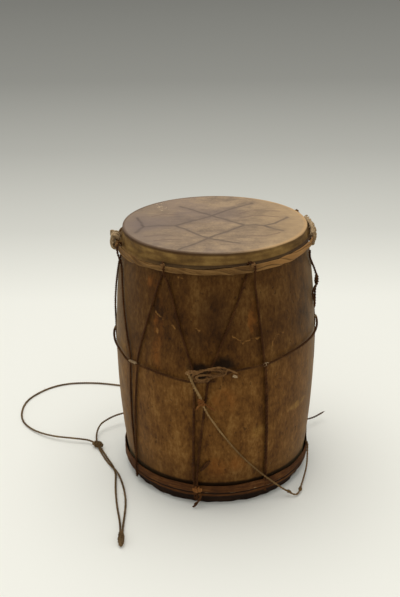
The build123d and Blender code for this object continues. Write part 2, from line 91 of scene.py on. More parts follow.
class Value:
    """A shader socket that takes part in Python arithmetic: each operation adds one Math node."""

    def __init__(self, graph: "Graph", socket: bpy.types.NodeSocket) -> None:
        """Keep the graph that the socket belongs to."""
        self.graph = graph
        self.socket = socket

    def _math(self, operation: str, *values: Any, clamp: bool = False) -> "Value":
        """Add a Math node.

        Args:
            operation: the Math node's operation.
            values: its inputs, numbers or Values.
            clamp: whether the result stays from 0 to 1.

        Returns:
            The result.
        """
        inputs = dict(enumerate(values))
        return self.graph.node("ShaderNodeMath", {"operation": operation, "use_clamp": clamp}, inputs)

    def __add__(self, other: Any) -> "Value":
        """Sum."""
        return self._math("ADD", self, other)

    __radd__ = __add__

    def __sub__(self, other: Any) -> "Value":
        """Difference."""
        return self._math("SUBTRACT", self, other)

    def __rsub__(self, other: Any) -> "Value":
        """Difference from a number."""
        return self._math("SUBTRACT", other, self)

    def __mul__(self, other: Any) -> "Value":
        """Product."""
        return self._math("MULTIPLY", self, other)

    __rmul__ = __mul__

    def __pow__(self, other: Any) -> "Value":
        """Power."""
        return self._math("POWER", self, other)

    def least(self, other: Any) -> "Value":
        """The smaller of two."""
        return self._math("MINIMUM", self, other)

    def most(self, other: Any) -> "Value":
        """The larger of two."""
        return self._math("MAXIMUM", self, other)

    def fraction(self) -> "Value":
        """What is left above the whole number."""
        return self._math("FRACT", self)

    def clamped(self) -> "Value":
        """The value kept from 0 to 1."""
        return self._math("ADD", self, 0.0, clamp=True)

    def rise(self, low: float, high: float) -> "Value":
        """Smooth step from 0 at low to 1 at high; with low above high it falls instead."""
        start, end, first, last = (low, high, 0.0, 1.0) if low < high else (high, low, 1.0, 0.0)
        settings = {"interpolation_type": "SMOOTHSTEP"}
        inputs = {"Value": self, "From Min": start, "From Max": end, "To Min": first, "To Max": last}
        return self.graph.node("ShaderNodeMapRange", settings, inputs)


class Graph:
    """The node tree of one material."""

    def __init__(self, name: str) -> None:
        """Make an empty material with one Principled shader.

        Args:
            name: the material's name.
        """
        self.material = bpy.data.materials.new(name)
        self.material.use_nodes = True
        self.tree = self.material.node_tree
        self.tree.nodes.clear()
        self.output = self.tree.nodes.new("ShaderNodeOutputMaterial")
        self.shader = self.tree.nodes.new("ShaderNodeBsdfPrincipled")
        self.tree.links.new(self.shader.outputs[0], self.output.inputs[0])

    def link(self, socket: bpy.types.NodeSocket, value: Any) -> None:
        """Give a socket a link or a plain value.

        Args:
            socket: the input socket.
            value: a Value, a number, or a colour or vector as a tuple.
        """
        if isinstance(value, Value):
            self.tree.links.new(value.socket, socket)
        elif isinstance(value, tuple) and socket.type == "RGBA":
            socket.default_value = (*value[:3], 1.0)
        else:
            socket.default_value = value

    def node(
        self,
        kind: str,
        settings: Optional[Mapping[str, Any]] = None,
        inputs: Optional[Mapping[Union[str, int], Any]] = None,
        out: Union[str, int] = 0,
    ) -> Value:
        """Add any node.

        Args:
            kind: the node's type.
            settings: its properties, set first; "stops" gives a colour ramp's stops.
            inputs: values or links of its sockets by name or number.
            out: the output that is wanted.

        Returns:
            That output.
        """
        made = self.tree.nodes.new(kind)
        for name, setting in (settings or {}).items():
            if name == "stops":
                self._stops(made.color_ramp, setting)
            else:
                setattr(made, name, setting)
        for name, value in (inputs or {}).items():
            self.link(made.inputs[name], value)
        return Value(self, made.outputs[out])

    @staticmethod
    def _stops(ramp: bpy.types.ColorRamp, stops: Sequence[tuple[float, Colour]]) -> None:
        """Set a ramp's stops.

        Args:
            ramp: the colour ramp.
            stops: pairs of place and colour.
        """
        while len(ramp.elements) < len(stops):
            ramp.elements.new(1.0)
        for element, (place, colour) in zip(ramp.elements, stops):
            element.position = place
            element.color = (*colour, 1.0)

    def place(self) -> Value:
        """Object coordinates in metres."""
        return self.node("ShaderNodeTexCoord", out="Object")

    def uv(self) -> Value:
        """The piece's own UV map."""
        return self.node("ShaderNodeUVMap", {"uv_map": "UVMap"})

    def axes(self, vector: Value) -> tuple[Value, Value, Value]:
        """The three parts of a vector."""
        split = self.node("ShaderNodeSeparateXYZ", inputs={0: vector}).socket.node
        return tuple(Value(self, part) for part in split.outputs)

    def vector(self, x: Any, y: Any, z: Any = 0.0) -> Value:
        """A vector of three values."""
        return self.node("ShaderNodeCombineXYZ", inputs={0: x, 1: y, 2: z})

    def stretched(self, vector: Value, scale: tuple[float, float, float]) -> Value:
        """A vector with each axis scaled."""
        return self.vector_math("MULTIPLY", vector, scale)

    def vector_math(self, operation: str, first: Any, second: Any, out: str = "Vector") -> Value:
        """A Vector Math node with two inputs."""
        return self.node("ShaderNodeVectorMath", {"operation": operation}, {0: first, 1: second}, out)

    def noise(self, vector: Value, scale: float, detail: float = 3.0, rough: float = 0.55) -> Value:
        """Noise from 0 to 1.

        Args:
            vector: where it is read.
            scale: its frequency.
            detail: octaves.
            rough: weight of the fine octaves.

        Returns:
            The noise.
        """
        inputs = {"Vector": vector, "Scale": scale, "Detail": detail, "Roughness": rough}
        return self.node("ShaderNodeTexNoise", inputs=inputs)

    def ramp(self, factor: Value, stops: Sequence[tuple[float, Colour]]) -> Value:
        """A colour from a ramp of stops."""
        return self.node("ShaderNodeValToRGB", {"stops": stops}, {0: factor})

    def mix(self, factor: Any, first: Any, second: Any, blend: str = "MIX") -> Value:
        """Mix two colours.

        Args:
            factor: share of the second, or strength of the blend.
            first: a colour.
            second: a colour.
            blend: the blend type.

        Returns:
            The mixed colour.
        """
        settings = {"data_type": "RGBA", "blend_type": blend, "clamp_factor": True}
        return self.node("ShaderNodeMix", settings, {0: factor, 6: first, 7: second}, out=2)

    def bump(self, height: Value, distance: float, strength: float) -> Value:
        """A normal from a height of about 0 to 1, where 1 stands for a distance in metres."""
        inputs = {"Height": height, "Distance": distance, "Strength": strength}
        return self.node("ShaderNodeBump", inputs=inputs)

    def line_distance(self, point: Value, line: Line) -> Value:
        """Distance from a point to a line of straight runs, in the plane of the point's first two axes.

        Args:
            point: the point.
            line: the line's corners.

        Returns:
            The distance to the nearest run.
        """
        nearest: Optional[Value] = None
        for (ax, ay), (bx, by) in zip(line, line[1:]):
            along = (bx - ax, by - ay, 0.0)
            size = along[0] ** 2 + along[1] ** 2
            reach = self.vector_math("SUBTRACT", point, (ax, ay, 0.0))
            share = (self.vector_math("DOT_PRODUCT", reach, along, "Value") * (1.0 / size)).clamped()
            foot = self.node("ShaderNodeVectorMath", {"operation": "SCALE"}, {0: along, "Scale": share})
            away = self.vector_math("DISTANCE", reach, foot, "Value")
            nearest = away if nearest is None else nearest.least(away)
        return nearest

    def finish(
        self, colour: Any, rough: Any, normal: Optional[Value] = None, **plain: Any
    ) -> bpy.types.Material:
        """Feed the shader and give the material.

        Args:
            colour: base colour.
            rough: roughness.
            normal: the surface normal.
            plain: other sockets by name with underscores, plain numbers or colours.

        Returns:
            The material.
        """
        self.link(self.shader.inputs["Base Color"], colour)
        self.link(self.shader.inputs["Roughness"], rough)
        if normal is not None:
            self.link(self.shader.inputs["Normal"], normal)
        for name, value in plain.items():
            self.link(self.shader.inputs[name.replace("_", " ")], value)
        return self.material


# Sizes and places shared with the frame


@dataclass(frozen=True)
class DrumSizes:
    """Sizes that the pieces share with the frame's solids."""

    height: float = 278.0
    belly_radius: float = 106.5
    belly_height: float = 135.0
    upper_edge: float = 94.0
    lower_edge: float = 96.5
    wall: float = 9.0
    hide: float = 0.8
    hide_gap: float = 0.1
    hide_cut: float = 118.0
    upper_band: float = 7.0
    upper_hoop_drop: float = 9.4
    upper_hoop_width: float = 6.4
    lower_band: float = 7.3
    lower_hoop_rise: float = 11.6
    lower_hoop_width: float = 11.6
    hoop_thickness: float = 1.8
    lower_hoop_slim: float = 0.9
    lower_hoop_draw: float = 1.6
    head_tilt: float = 0.0285
    hoop_low_front: float = -1.8
    hoop_tilt: float = 2.9
    cord: float = 2.1
    cord_gap: float = 0.3
    lace_gap: float = 0.5
    crossing_gap: float = -0.1
    waist_gap: float = 1.3
    behind_gap: float = 0.1
    lean_from: float = 264.0
    lean_run: float = 10.0

    @property
    def shell_top(self) -> float:
        """Height of the shell's upper edge."""
        return self.height - self.hide

    def radius(self, height: Any) -> Any:
        """Outer radius of the shell: two arcs that meet upright at the belly."""
        offset = np.asarray(height, dtype=float) - self.belly_height
        above = offset > 0
        rise = np.where(above, self.shell_top - self.belly_height, self.belly_height - self.hide)
        draw = np.where(above, self.belly_radius - self.upper_edge, self.belly_radius - self.lower_edge)
        curve = 2 * draw / (rise**2 + draw**2)
        return self.belly_radius - curve * offset**2 / (1 + np.sqrt(1 - (curve * offset) ** 2))

    def on_shell(self, height: Any) -> Any:
        """Radius of the middle of a cord that lies on the shell."""
        return self.radius(height) + self.lace_gap + self.cord / 2


@dataclass(frozen=True)
class HoopPlace:
    """Where a hoop's roll lies and where a cord goes round it."""

    inner: float
    roll_outer: float
    low: float
    high: float
    cord_back: float
    cord_front: float
    cord_low: float
    cord_high: float


SIZES = DrumSizes()


def upper_place(sizes: DrumSizes) -> HoopPlace:
    """The upper hoop's place from the shared sizes."""
    reach = sizes.hide_gap + sizes.hide
    high = sizes.height - sizes.upper_hoop_drop
    low = high - sizes.upper_hoop_width
    cord_low = low - reach - sizes.cord_gap - sizes.cord / 2
    inner = float(sizes.radius(cord_low)) + sizes.cord + 2 * sizes.cord_gap
    outer = inner + sizes.hoop_thickness + reach
    step = sizes.cord_gap + sizes.cord / 2
    cord_high = sizes.height - sizes.upper_band + sizes.hide
    return HoopPlace(inner, outer, low - reach, high + reach, inner - step, outer + step, cord_low, cord_high)


def lower_place(sizes: DrumSizes) -> HoopPlace:
    """The lower hoop's place from the shared sizes."""
    reach = sizes.hide_gap + sizes.hide
    low = sizes.lower_hoop_rise
    high = low + sizes.lower_hoop_width
    cord_high = high + reach + sizes.cord_gap + sizes.cord / 2
    shell = float(sizes.radius(cord_high))
    inner = shell + sizes.cord + 2 * sizes.cord_gap - sizes.lower_hoop_draw
    outer = inner + sizes.hoop_thickness + reach - sizes.lower_hoop_slim
    step = sizes.cord_gap + sizes.cord / 2
    cord_low = sizes.lower_band - sizes.hide
    behind = shell + sizes.cord / 2 + sizes.behind_gap
    return HoopPlace(inner, outer, low - reach, high + reach, behind, outer + step, cord_low, cord_high)


UPPER = upper_place(SIZES)
LOWER = lower_place(SIZES)


def hoop_sag(angle: Any) -> Any:
    """How far the upper hoop stands above its level place at an angle: it hangs low at the left."""
    return SIZES.hoop_low_front + SIZES.hoop_tilt * np.sin(np.radians(angle))


def lean_head(points: Array, highest: float) -> Array:
    """Points of the drum's top, lower at the back and up to some height more at the front."""
    share = np.clip((points[..., 2] - SIZES.lean_from) / SIZES.lean_run, 0, 1)
    points[..., 2] += np.minimum(points[..., 1] * -SIZES.head_tilt, highest) * share
    return points


def polar(angle: Any, radius: Any, height: Any) -> Array:
    """Points at angles round the drum, radii and heights: (r sin a, -r cos a, z)."""
    turn = np.radians(angle)
    parts = np.broadcast_arrays(radius * np.sin(turn), -radius * np.cos(turn), height)
    return np.stack(parts, axis=-1).astype(float)


def round_angles(count: int) -> Array:
    """Angles of a full turn in degrees, from the back."""
    return np.linspace(-180, 180, count, endpoint=False)


def full_turn(count: int) -> Array:
    """Angles of a full turn in radians."""
    return np.linspace(0, 2 * math.pi, count, endpoint=False)


def swept(turn: Array, first: Array, second: Array) -> Array:
    """Directions at angles in a plane: cosine times the first axis plus sine times the second."""
    return np.cos(turn)[..., None] * first + np.sin(turn)[..., None] * second


def squared(wave: Array, power: float) -> Array:
    """A wave with its sign kept and its size raised to a power; below 1 it makes a round section squarer."""
    return np.abs(wave) ** power * np.sign(wave)


def over_shell(angle: float, lift: float, height: float) -> Array:
    """A point that stands a lift above the shell."""
    return polar(angle, float(SIZES.radius(height)) + lift, height)


def wander(length: Array, seed: int, wave: float, octaves: int = 3) -> Array:
    """Smooth noise about 0 along a length: a sum of sines with seeded phases, each octave half as strong.

    Args:
        length: places along a line, in millimetres.
        seed: picks the phases.
        wave: the longest wavelength.
        octaves: number of sines.

    Returns:
        Noise from about -1 to 1.
    """
    phases = np.random.default_rng(seed).uniform(0, 2 * math.pi, octaves)
    steps = np.arange(octaves)
    waves = np.sin(length[..., None] * 2 * math.pi * 1.83**steps / wave + phases)
    return (waves * 0.5**steps).sum(-1) / 1.6


# Meshes


@dataclass
class Patch:
    """A grid of points that makes one surface; it faces along columns cross rows."""

    points: Array
    wrap_rows: bool = False
    wrap_cols: bool = True
    pole_start: bool = False
    pole_end: bool = False
    uv: Optional[Array] = None


def patch_faces(patch: Patch, base: int) -> tuple[Array, Array]:
    """Corner numbers of a patch's quads.

    Args:
        patch: the grid.
        base: number of its first point.

    Returns:
        The quads, and the grid place of each corner in the unwrapped grid.
    """
    rows, cols = patch.points.shape[:2]
    row = np.arange(rows if patch.wrap_rows else rows - 1)[:, None]
    col = np.arange(cols if patch.wrap_cols else cols - 1)[None, :]
    corners = [(row, col), (row, col + 1), (row + 1, col + 1), (row + 1, col)]
    spread = [np.broadcast_arrays(r, c) for r, c in corners]
    quads = np.stack([base + (r % rows) * cols + c % cols for r, c in spread], axis=-1).reshape(-1, 4)
    wide = cols + 1
    places = np.stack([r * wide + c for r, c in spread], axis=-1).reshape(-1, 4)
    return quads, places


def make_piece(name: str, patches: Sequence[Patch]) -> bpy.types.Object:
    """Join grids into one smooth mesh object at the origin.

    Args:
        name: the piece's name.
        patches: its grids, in millimetres; a pole closes an end with a fan of triangles.

    Returns:
        The object.
    """
    points, faces, sizes, coords = [], [], [], []
    base = 0
    for patch in patches:
        rows, cols = patch.points.shape[:2]
        uv = patch.uv if patch.uv is not None else np.zeros((rows + 1, cols + 1, 2))
        flat_uv = uv.reshape(-1, 2)
        quads, places = patch_faces(patch, base)
        points.append(patch.points.reshape(-1, 3))
        faces.append(quads.ravel())
        sizes.append(np.full(len(quads), 4))
        coords.append(flat_uv[places.ravel()])
        ring = np.arange(cols)
        turned = (ring + 1) % cols
        pole = base + rows * cols
        for wanted, row in ((patch.pole_start, 0), (patch.pole_end, rows - 1)):
            if not wanted:
                continue
            first = base + row * cols
            pair = (first + turned, first + ring) if row == 0 else (first + ring, first + turned)
            points.append(patch.points[row].mean(0)[None])
            faces.append(np.stack([*pair, np.full(cols, pole)], axis=-1).ravel())
            sizes.append(np.full(cols, 3))
            coords.append(np.repeat(flat_uv[row * (cols + 1)][None], 3 * cols, axis=0))
            pole += 1
        base = pole
    verts = np.concatenate(points) * MM
    loops = np.concatenate(faces)
    counts = np.concatenate(sizes)
    mesh = bpy.data.meshes.new(name)
    mesh.vertices.add(len(verts))
    mesh.vertices.foreach_set("co", verts.ravel())
    mesh.loops.add(len(loops))
    mesh.loops.foreach_set("vertex_index", loops)
    mesh.polygons.add(len(counts))
    mesh.polygons.foreach_set("loop_start", np.concatenate([[0], np.cumsum(counts)[:-1]]))
    mesh.polygons.foreach_set("use_smooth", np.ones(len(counts), dtype=bool))
    layer = mesh.uv_layers.new(name="UVMap")
    layer.data.foreach_set("uv", np.concatenate(coords).ravel())
    mesh.update(calc_edges=True)
    mesh.validate()
    piece = bpy.data.objects.new(name, mesh)
    bpy.context.scene.collection.objects.link(piece)
    return piece


# Cords


def spline_points(route: Array, steps: int) -> Array:
    """Points along a smooth NURBS spline whose control points are the route's points.

    Args:
        route: the route's points.
        steps: points that the spline gives for each run of the route.

    Returns:
        The points, read from the spline.
    """
    curve = bpy.data.curves.new("route", "CURVE")
    curve.dimensions = "3D"
    spline = curve.splines.new("NURBS")
    spline.points.add(len(route) - 1)
    spline.points.foreach_set("co", np.column_stack([route, np.ones(len(route))]).ravel())
    spline.order_u = 3
    spline.use_endpoint_u = True
    spline.resolution_u = steps
    holder = bpy.data.objects.new("route", curve)
    mesh = bpy.data.meshes.new_from_object(holder)
    points = np.zeros(len(mesh.vertices) * 3)
    mesh.vertices.foreach_get("co", points)
    bpy.data.objects.remove(holder)
    bpy.data.curves.remove(curve)
    bpy.data.meshes.remove(mesh)
    points = points.reshape(-1, 3)
    apart = np.linalg.norm(np.diff(points, axis=0), axis=1) > 1e-6
    return points[np.concatenate([[True], apart])]


def unit(vectors: Array) -> Array:
    """Vectors of length one."""
    return vectors / np.linalg.norm(vectors, axis=-1, keepdims=True)


def path_frames(path: Array) -> tuple[Array, Array, Array]:
    """Directions along a path: its tangent, and two normals that turn as little as they can.

    Args:
        path: the path's points.

    Returns:
        Tangents, first normals and second normals, with first cross second along the tangent.
    """
    tangent = unit(np.gradient(path, axis=0))
    start = np.eye(3)[np.argmin(np.abs(tangent[0]))]
    normals = np.empty_like(path)
    for place, along in enumerate(tangent):
        start = start - (start @ along) * along
        start = start / np.linalg.norm(start)
        normals[place] = start
    return tangent, normals, np.cross(tangent, normals)


def path_length(path: Array) -> Array:
    """Length along a path at each of its points."""
    return np.concatenate([[0.0], np.cumsum(np.linalg.norm(np.diff(path, axis=0), axis=1))])


# For each number of plies: how far out they lie and how thick they are, as shares of the cord's radius
PLY_SHARES = {1: (0.0, 1.0), 2: (0.46, 0.57), 3: (0.54, 0.47)}


@dataclass(frozen=True)
class Rope:
    """How a cord is laid up: its plies wind round its middle line."""

    radius: float = 1.05
    plies: int = 2
    pitch: float = 6.5
    sides: int = 8
    lump: float = 0.10
    flat: float = 1.0
    taper_start: float = 0.0
    taper_end: float = 0.0

    def patches(self, path: Array, seed: int) -> list[Patch]:
        """The plies as tubes.

        Each ply's middle runs at an angle of 2 pi s / pitch round the path, and its ring is a circle about
        that, a little lumpy along the length s.

        Args:
            path: the middle line, in millimetres.
            seed: picks the lumps.

        Returns:
            One tube for each ply.
        """
        length = path_length(path)
        _, first, second = path_frames(path)
        total = length[-1]
        ease = np.ones_like(length)
        if self.taper_start:
            ease = ease * np.clip(length / self.taper_start, 0.4, 1.0) ** 0.7
        if self.taper_end:
            ease = ease * np.clip((total - length) / self.taper_end, 0.4, 1.0) ** 0.7
        ring = full_turn(self.sides)
        share, thickness = PLY_SHARES[self.plies]
        flattened = second * self.flat
        tubes = []
        for ply in range(self.plies):
            lumps = 1 + self.lump * wander(length, seed * 7 + ply, 11.0)
            turn = 2 * math.pi * (length / self.pitch + ply / self.plies)
            turn = turn + 0.5 * wander(length, seed + 3, 40.0)
            offset = (self.radius * share * ease)[:, None]
            middle = path + offset * swept(turn, first, flattened)
            size = (self.radius * thickness * lumps * ease)[:, None, None]
            points = middle[:, None] + size * swept(ring[None], first[:, None], flattened[:, None])
            rows, columns = np.append(length, total), np.arange(self.sides + 1) / self.sides
            along, across = np.meshgrid(rows, columns, indexing="ij")
            uv = np.stack([along * 0.01, across + ply * 0.37 + seed * 0.11], axis=-1)
            tubes.append(Patch(points, pole_start=True, pole_end=True, uv=uv))
        return tubes


def fibres(path: Array, count: int, seed: int, reach: float, thick: float = 0.11) -> list[Patch]:
    """Stray fibres that stand out of a cord: thin tapering tubes that leave it at a slant and curl.

    Args:
        path: the cord's middle line.
        count: number of fibres.
        seed: picks their places.
        reach: their length.
        thick: their radius at the root.

    Returns:
        One small tube for each fibre.
    """
    draw = np.random.default_rng(seed)
    tangent, first, second = path_frames(path)
    spots = draw.integers(1, len(path) - 1, count)
    turn = draw.uniform(0, 2 * math.pi, count)
    out = swept(turn, first[spots], second[spots])
    lean = tangent[spots] * draw.choice([-1.0, 1.0], count)[:, None]
    curl = unit(draw.normal(size=(count, 3)))
    long = reach * draw.uniform(0.4, 1.0, count)
    share = np.linspace(0, 1, 5)
    made = []
    for which in range(count):
        step = share[:, None] * long[which]
        slant = 0.55 * out[which] + 0.75 * lean[which]
        line = path[spots[which]] + step * slant + step**2 / reach * 0.35 * curl[which]
        line[:, 2] = np.maximum(line[:, 2], 0.2)
        _, one, two = path_frames(line)
        size = (thick * (1 - 0.8 * share))[:, None, None]
        points = line[:, None] + size * swept(full_turn(4)[None], one[:, None], two[:, None])
        made.append(Patch(points, pole_start=True, pole_end=True))
    return made


def knot_patches(
    center: Array, axis: Sequence[float], length: float, radius: float, turns: float, cord: float, seed: int
) -> list[Patch]:
    """A knot: a cord wound round the axis with its ends tucked in, a core, and a strand that crosses over.

    The winding's middle is at an angle of 2 pi turns t, and its radius swells as the sine of pi t.

    Args:
        center: the knot's middle.
        axis: its direction.
        length: its length along the axis.
        radius: its largest radius.
        turns: turns of the winding.
        cord: the cord's radius.
        seed: picks the lumps.

    Returns:
        The knot's strands.
    """
    along = unit(np.asarray(axis, dtype=float))
    side = unit(np.cross(along, np.eye(3)[np.argmin(np.abs(along))]))
    up = np.cross(along, side)
    rope = Rope(radius=cord, pitch=5.5, sides=7, taper_start=2.0, taper_end=2.0)
    share = np.linspace(0, 1, int(40 * turns) + 1)
    turn = 2 * math.pi * turns * share + seed
    swell = (radius - cord) * (0.45 + 0.55 * np.sin(math.pi * share) ** 0.5)
    shift = (share - 0.5) * (length - 2 * cord)
    wind = center + shift[:, None] * along + swell[:, None] * swept(turn, side, up)
    core_share = np.linspace(-0.5, 0.5, 12)[:, None]
    core = center + core_share * length * along
    over_share = np.linspace(0, 1, 24)
    over_turn = seed + 1.2 + 1.6 * over_share
    over_radius = (radius - 0.55 * cord) * np.sin(math.pi * (0.14 + 0.72 * over_share))
    over = (
        center
        + ((over_share - 0.5) * length * 0.95)[:, None] * along
        + over_radius[:, None] * swept(over_turn, side, up)
    )
    thick = Rope(radius=max(radius - 1.6 * cord, cord * 0.9), plies=1, sides=10)
    return rope.patches(wind, seed) + thick.patches(core, seed + 1) + rope.patches(over, seed + 2)


# Finishes


def tone(red: int, green: int, blue: int) -> Colour:
    """A colour as seen on a screen, from 0 to 255, in the linear values that shaders use."""
    shares = np.array([red, green, blue]) / 255
    linear = np.where(shares <= 0.04045, shares / 12.92, ((shares + 0.055) / 1.055) ** 2.4)
    return tuple(float(part) for part in linear)


@dataclass(frozen=True)
class CordFinish:
    """Twisted plant fibre: fine fibres along each ply, darker in places from handling."""

    name: str
    dark: Colour
    mid: Colour
    light: Colour
    rough: float = 0.82
    browned: float = 0.0

    def make(self) -> bpy.types.Material:
        """The material, on the cord's own UV map: u along it in tenths of a metre, v round each ply."""
        graph = Graph(self.name)
        uv = graph.uv()
        fibre = graph.noise(graph.stretched(uv, (26.0, 11.0, 1.0)), 1.0, 5.0, 0.65)
        patchiness = graph.noise(graph.place(), 75.0, 3.0)
        shade = fibre * 0.75 + patchiness * 0.55 - 0.15
        colour = graph.ramp(shade, [(0.28, self.dark), (0.5, self.mid), (0.76, self.light)])
        if self.browned:
            _, _, level = graph.axes(graph.place())
            colour = graph.mix(level.rise(0.1, 0.06) * self.browned, colour, tone(84, 60, 32))
        rough = fibre * 0.2 + (self.rough - 0.1)
        return graph.finish(colour, rough, graph.bump(fibre, 0.0005, 0.8), Specular_IOR_Level=0.1)


@dataclass(frozen=True)
class WoodFinish:
    """The shell's old wood: fine upright grain, dark pores, warm streaks, pale scratches, patches of wear and
    painted shade.
    """

    scratches: Lines = (
        ((-36.2, 216.4), (-33.2, 213.3), (-31.3, 209.7)),
        ((-34.6, 198.5), (-34.2, 194.5)),
        ((8.3, 197.8), (12.5, 191.2), (14.0, 189.4), (16.8, 191.7), (24.1, 192.2)),
        ((31.5, 181.5), (33.5, 189.6), (36.5, 191.4), (39.5, 190.1)),
        ((13.2, 77.3), (18.9, 82.2), (22.2, 85.1), (25.6, 89.4)),
        ((-22.2, 255.0), (-18.0, 252.5)),
        ((-24.8, 206.0), (-23.8, 203.8)),
        ((-10.6, 205.4), (-9.6, 203.6)),
    )
    glow: Spots = (
        (-33.2, 200.0, 6.5, 40.0), (-35.0, 168.0, 8.0, 24.0), (-0.5, 46.0, 17.0, 16.0),
        (12.0, 52.0, 14.0, 12.0), (20.5, 216.0, 6.0, 24.0), (4.0, 128.0, 16.0, 18.0),
        (-38.0, 240.0, 9.0, 16.0),
    )
    straw: Spots = ((54.2, 96.8, 20.0, 5.0), (23.0, 87.0, 10.0, 8.0))
    bloom: Mapping[str, Any] = field(
        default_factory=lambda: {
            "Sheen_Weight": 0.15, "Sheen_Roughness": 0.4, "Sheen_Tint": (1.0, 0.78, 0.42)
        }
    )
    # Painted shade on the shell behind and above the hank, where the hank stands off the wood.
    hank_shade: Spots = (
        (2.6, 167.0, 16.0, 10.0), (-9.5, 164.0, 15.0, 8.0), (-9.0, 157.0, 15.0, 8.0)
    )
    dim: Spots = ((0.0, 222.0, 24.0, 32.0), (-11.0, 192.0, 10.0, 14.0))

    def make(self) -> bpy.types.Material:
        """The material, on object places for the grain and on the shell's UV map for the marks."""
        graph = Graph("old_shell_wood")
        place = graph.place()
        spread = graph.uv()
        broad = graph.noise(place, 14.0, 4.0, 0.6)
        cloud = graph.noise(graph.stretched(place, (75.0, 75.0, 48.0)), 1.0, 5.0, 0.65)
        streak = graph.noise(graph.stretched(place, (85.0, 85.0, 6.0)), 1.0, 4.0, 0.6)
        grain = graph.noise(graph.stretched(place, (360.0, 360.0, 170.0)), 1.0, 4.0, 0.7)
        speck = graph.noise(graph.stretched(place, (260.0, 260.0, 190.0)), 1.0, 2.0, 0.5)
        arc, rise, _ = graph.axes(spread)
        jitter = graph.noise(place, 130.0, 4.0, 0.6)
        sway = graph.noise(place, 210.0, 3.0, 0.6)
        shifted = graph.vector(arc + (jitter - 0.5) * 0.009, rise + (sway - 0.5) * 0.009)
        arc = arc + (cloud - 0.5) * 0.022
        rise = rise + (broad - 0.5) * 0.02
        shade = streak * 0.32 + broad * 0.5 + cloud * 0.62 + grain * 0.6 - 0.51
        colour = graph.ramp(
            shade,
            [
                (0.3, tone(62, 35, 9)), (0.44, tone(88, 55, 19)),
                (0.56, tone(105, 69, 28)), (0.74, tone(133, 96, 49)),
            ],
        )
        high = rise.rise(0.13, 0.2)
        colour = graph.mix(high, colour, (0.575, 0.555, 0.53), "MULTIPLY")
        warm = cloud.rise(0.32, 0.68)
        colour = graph.mix(self._mask(arc, rise, self.glow) * warm * 0.48, colour, tone(132, 76, 26))
        colour = graph.mix(self._mask(arc, rise, self.straw) * warm * 0.8, colour, tone(150, 112, 54))
        colour = graph.mix(self._mask(arc, rise, self.dim) * 0.38, colour, tone(40, 22, 8))
        # Painted shade behind the hank: soft dark patches.
        hank_shade_mask = self._mask(arc, rise, self.hank_shade) * (0.7 + cloud * 0.9)
        colour = graph.mix(hank_shade_mask.clamped() * 0.93, colour, tone(20, 9, 3))
        pores = speck.rise(0.66, 0.72) * (0.25 + broad * 0.9).clamped()
        colour = graph.mix(pores * 0.7, colour, tone(36, 20, 9))
        _, _, level = graph.axes(place)
        # Darker towards the foot, then a near-black line just above the lower hoop: painted shade of the gap
        # between hoop and shell.
        colour = graph.mix(level.rise(0.06, 0.025) * 0.34, colour, tone(48, 26, 8))
        colour = graph.mix((level + cloud * 0.002).rise(0.0295, 0.0265) * 0.9, colour, tone(18, 8, 3))
        marks: Optional[Value] = None
        for line in self.scratches:
            away = graph.line_distance(shifted, [(self.arc_at(angle), height * MM) for angle, height in line])
            marks = away if marks is None else marks.least(away)
        scratched = marks.rise(0.0015, 0.0002) * sway.rise(0.4, 0.6)
        colour = graph.mix(scratched * 0.7, colour, tone(140, 98, 48))
        relief = streak * 0.3 + grain * 0.5 + cloud * 0.3 - pores * 0.8 - scratched * 0.3
        rough = 0.46 + grain * 0.16 + pores * 0.2
        normal = graph.bump(relief, 0.0006, 0.6)
        return graph.finish(colour, rough, normal, Specular_IOR_Level=0.06, **self.bloom)

    @staticmethod
    def arc_at(angle: float) -> float:
        """Length round the belly from the front to an angle, in metres, as in the shell's UV map."""
        return math.radians(angle) * SIZES.belly_radius * MM

    def _mask(self, arc: Value, rise: Value, spots: Spots) -> Value:
        """Soft spots on the shell.

        Args:
            arc: length round the shell.
            rise: height.
            spots: angle, height, half width and half height of each, in degrees and millimetres.

        Returns:
            A mask from 0 to 1: the strongest of the spots.
        """
        total: Optional[Value] = None
        for angle, height, half_width, half_height in spots:
            across = (arc - self.arc_at(angle)) * (1 / (half_width * MM))
            up = (rise - height * MM) * (1 / (half_height * MM))
            spot = (across * across + up * up).rise(1.0, 0.0)
            total = spot if total is None else total.most(spot)
        return total


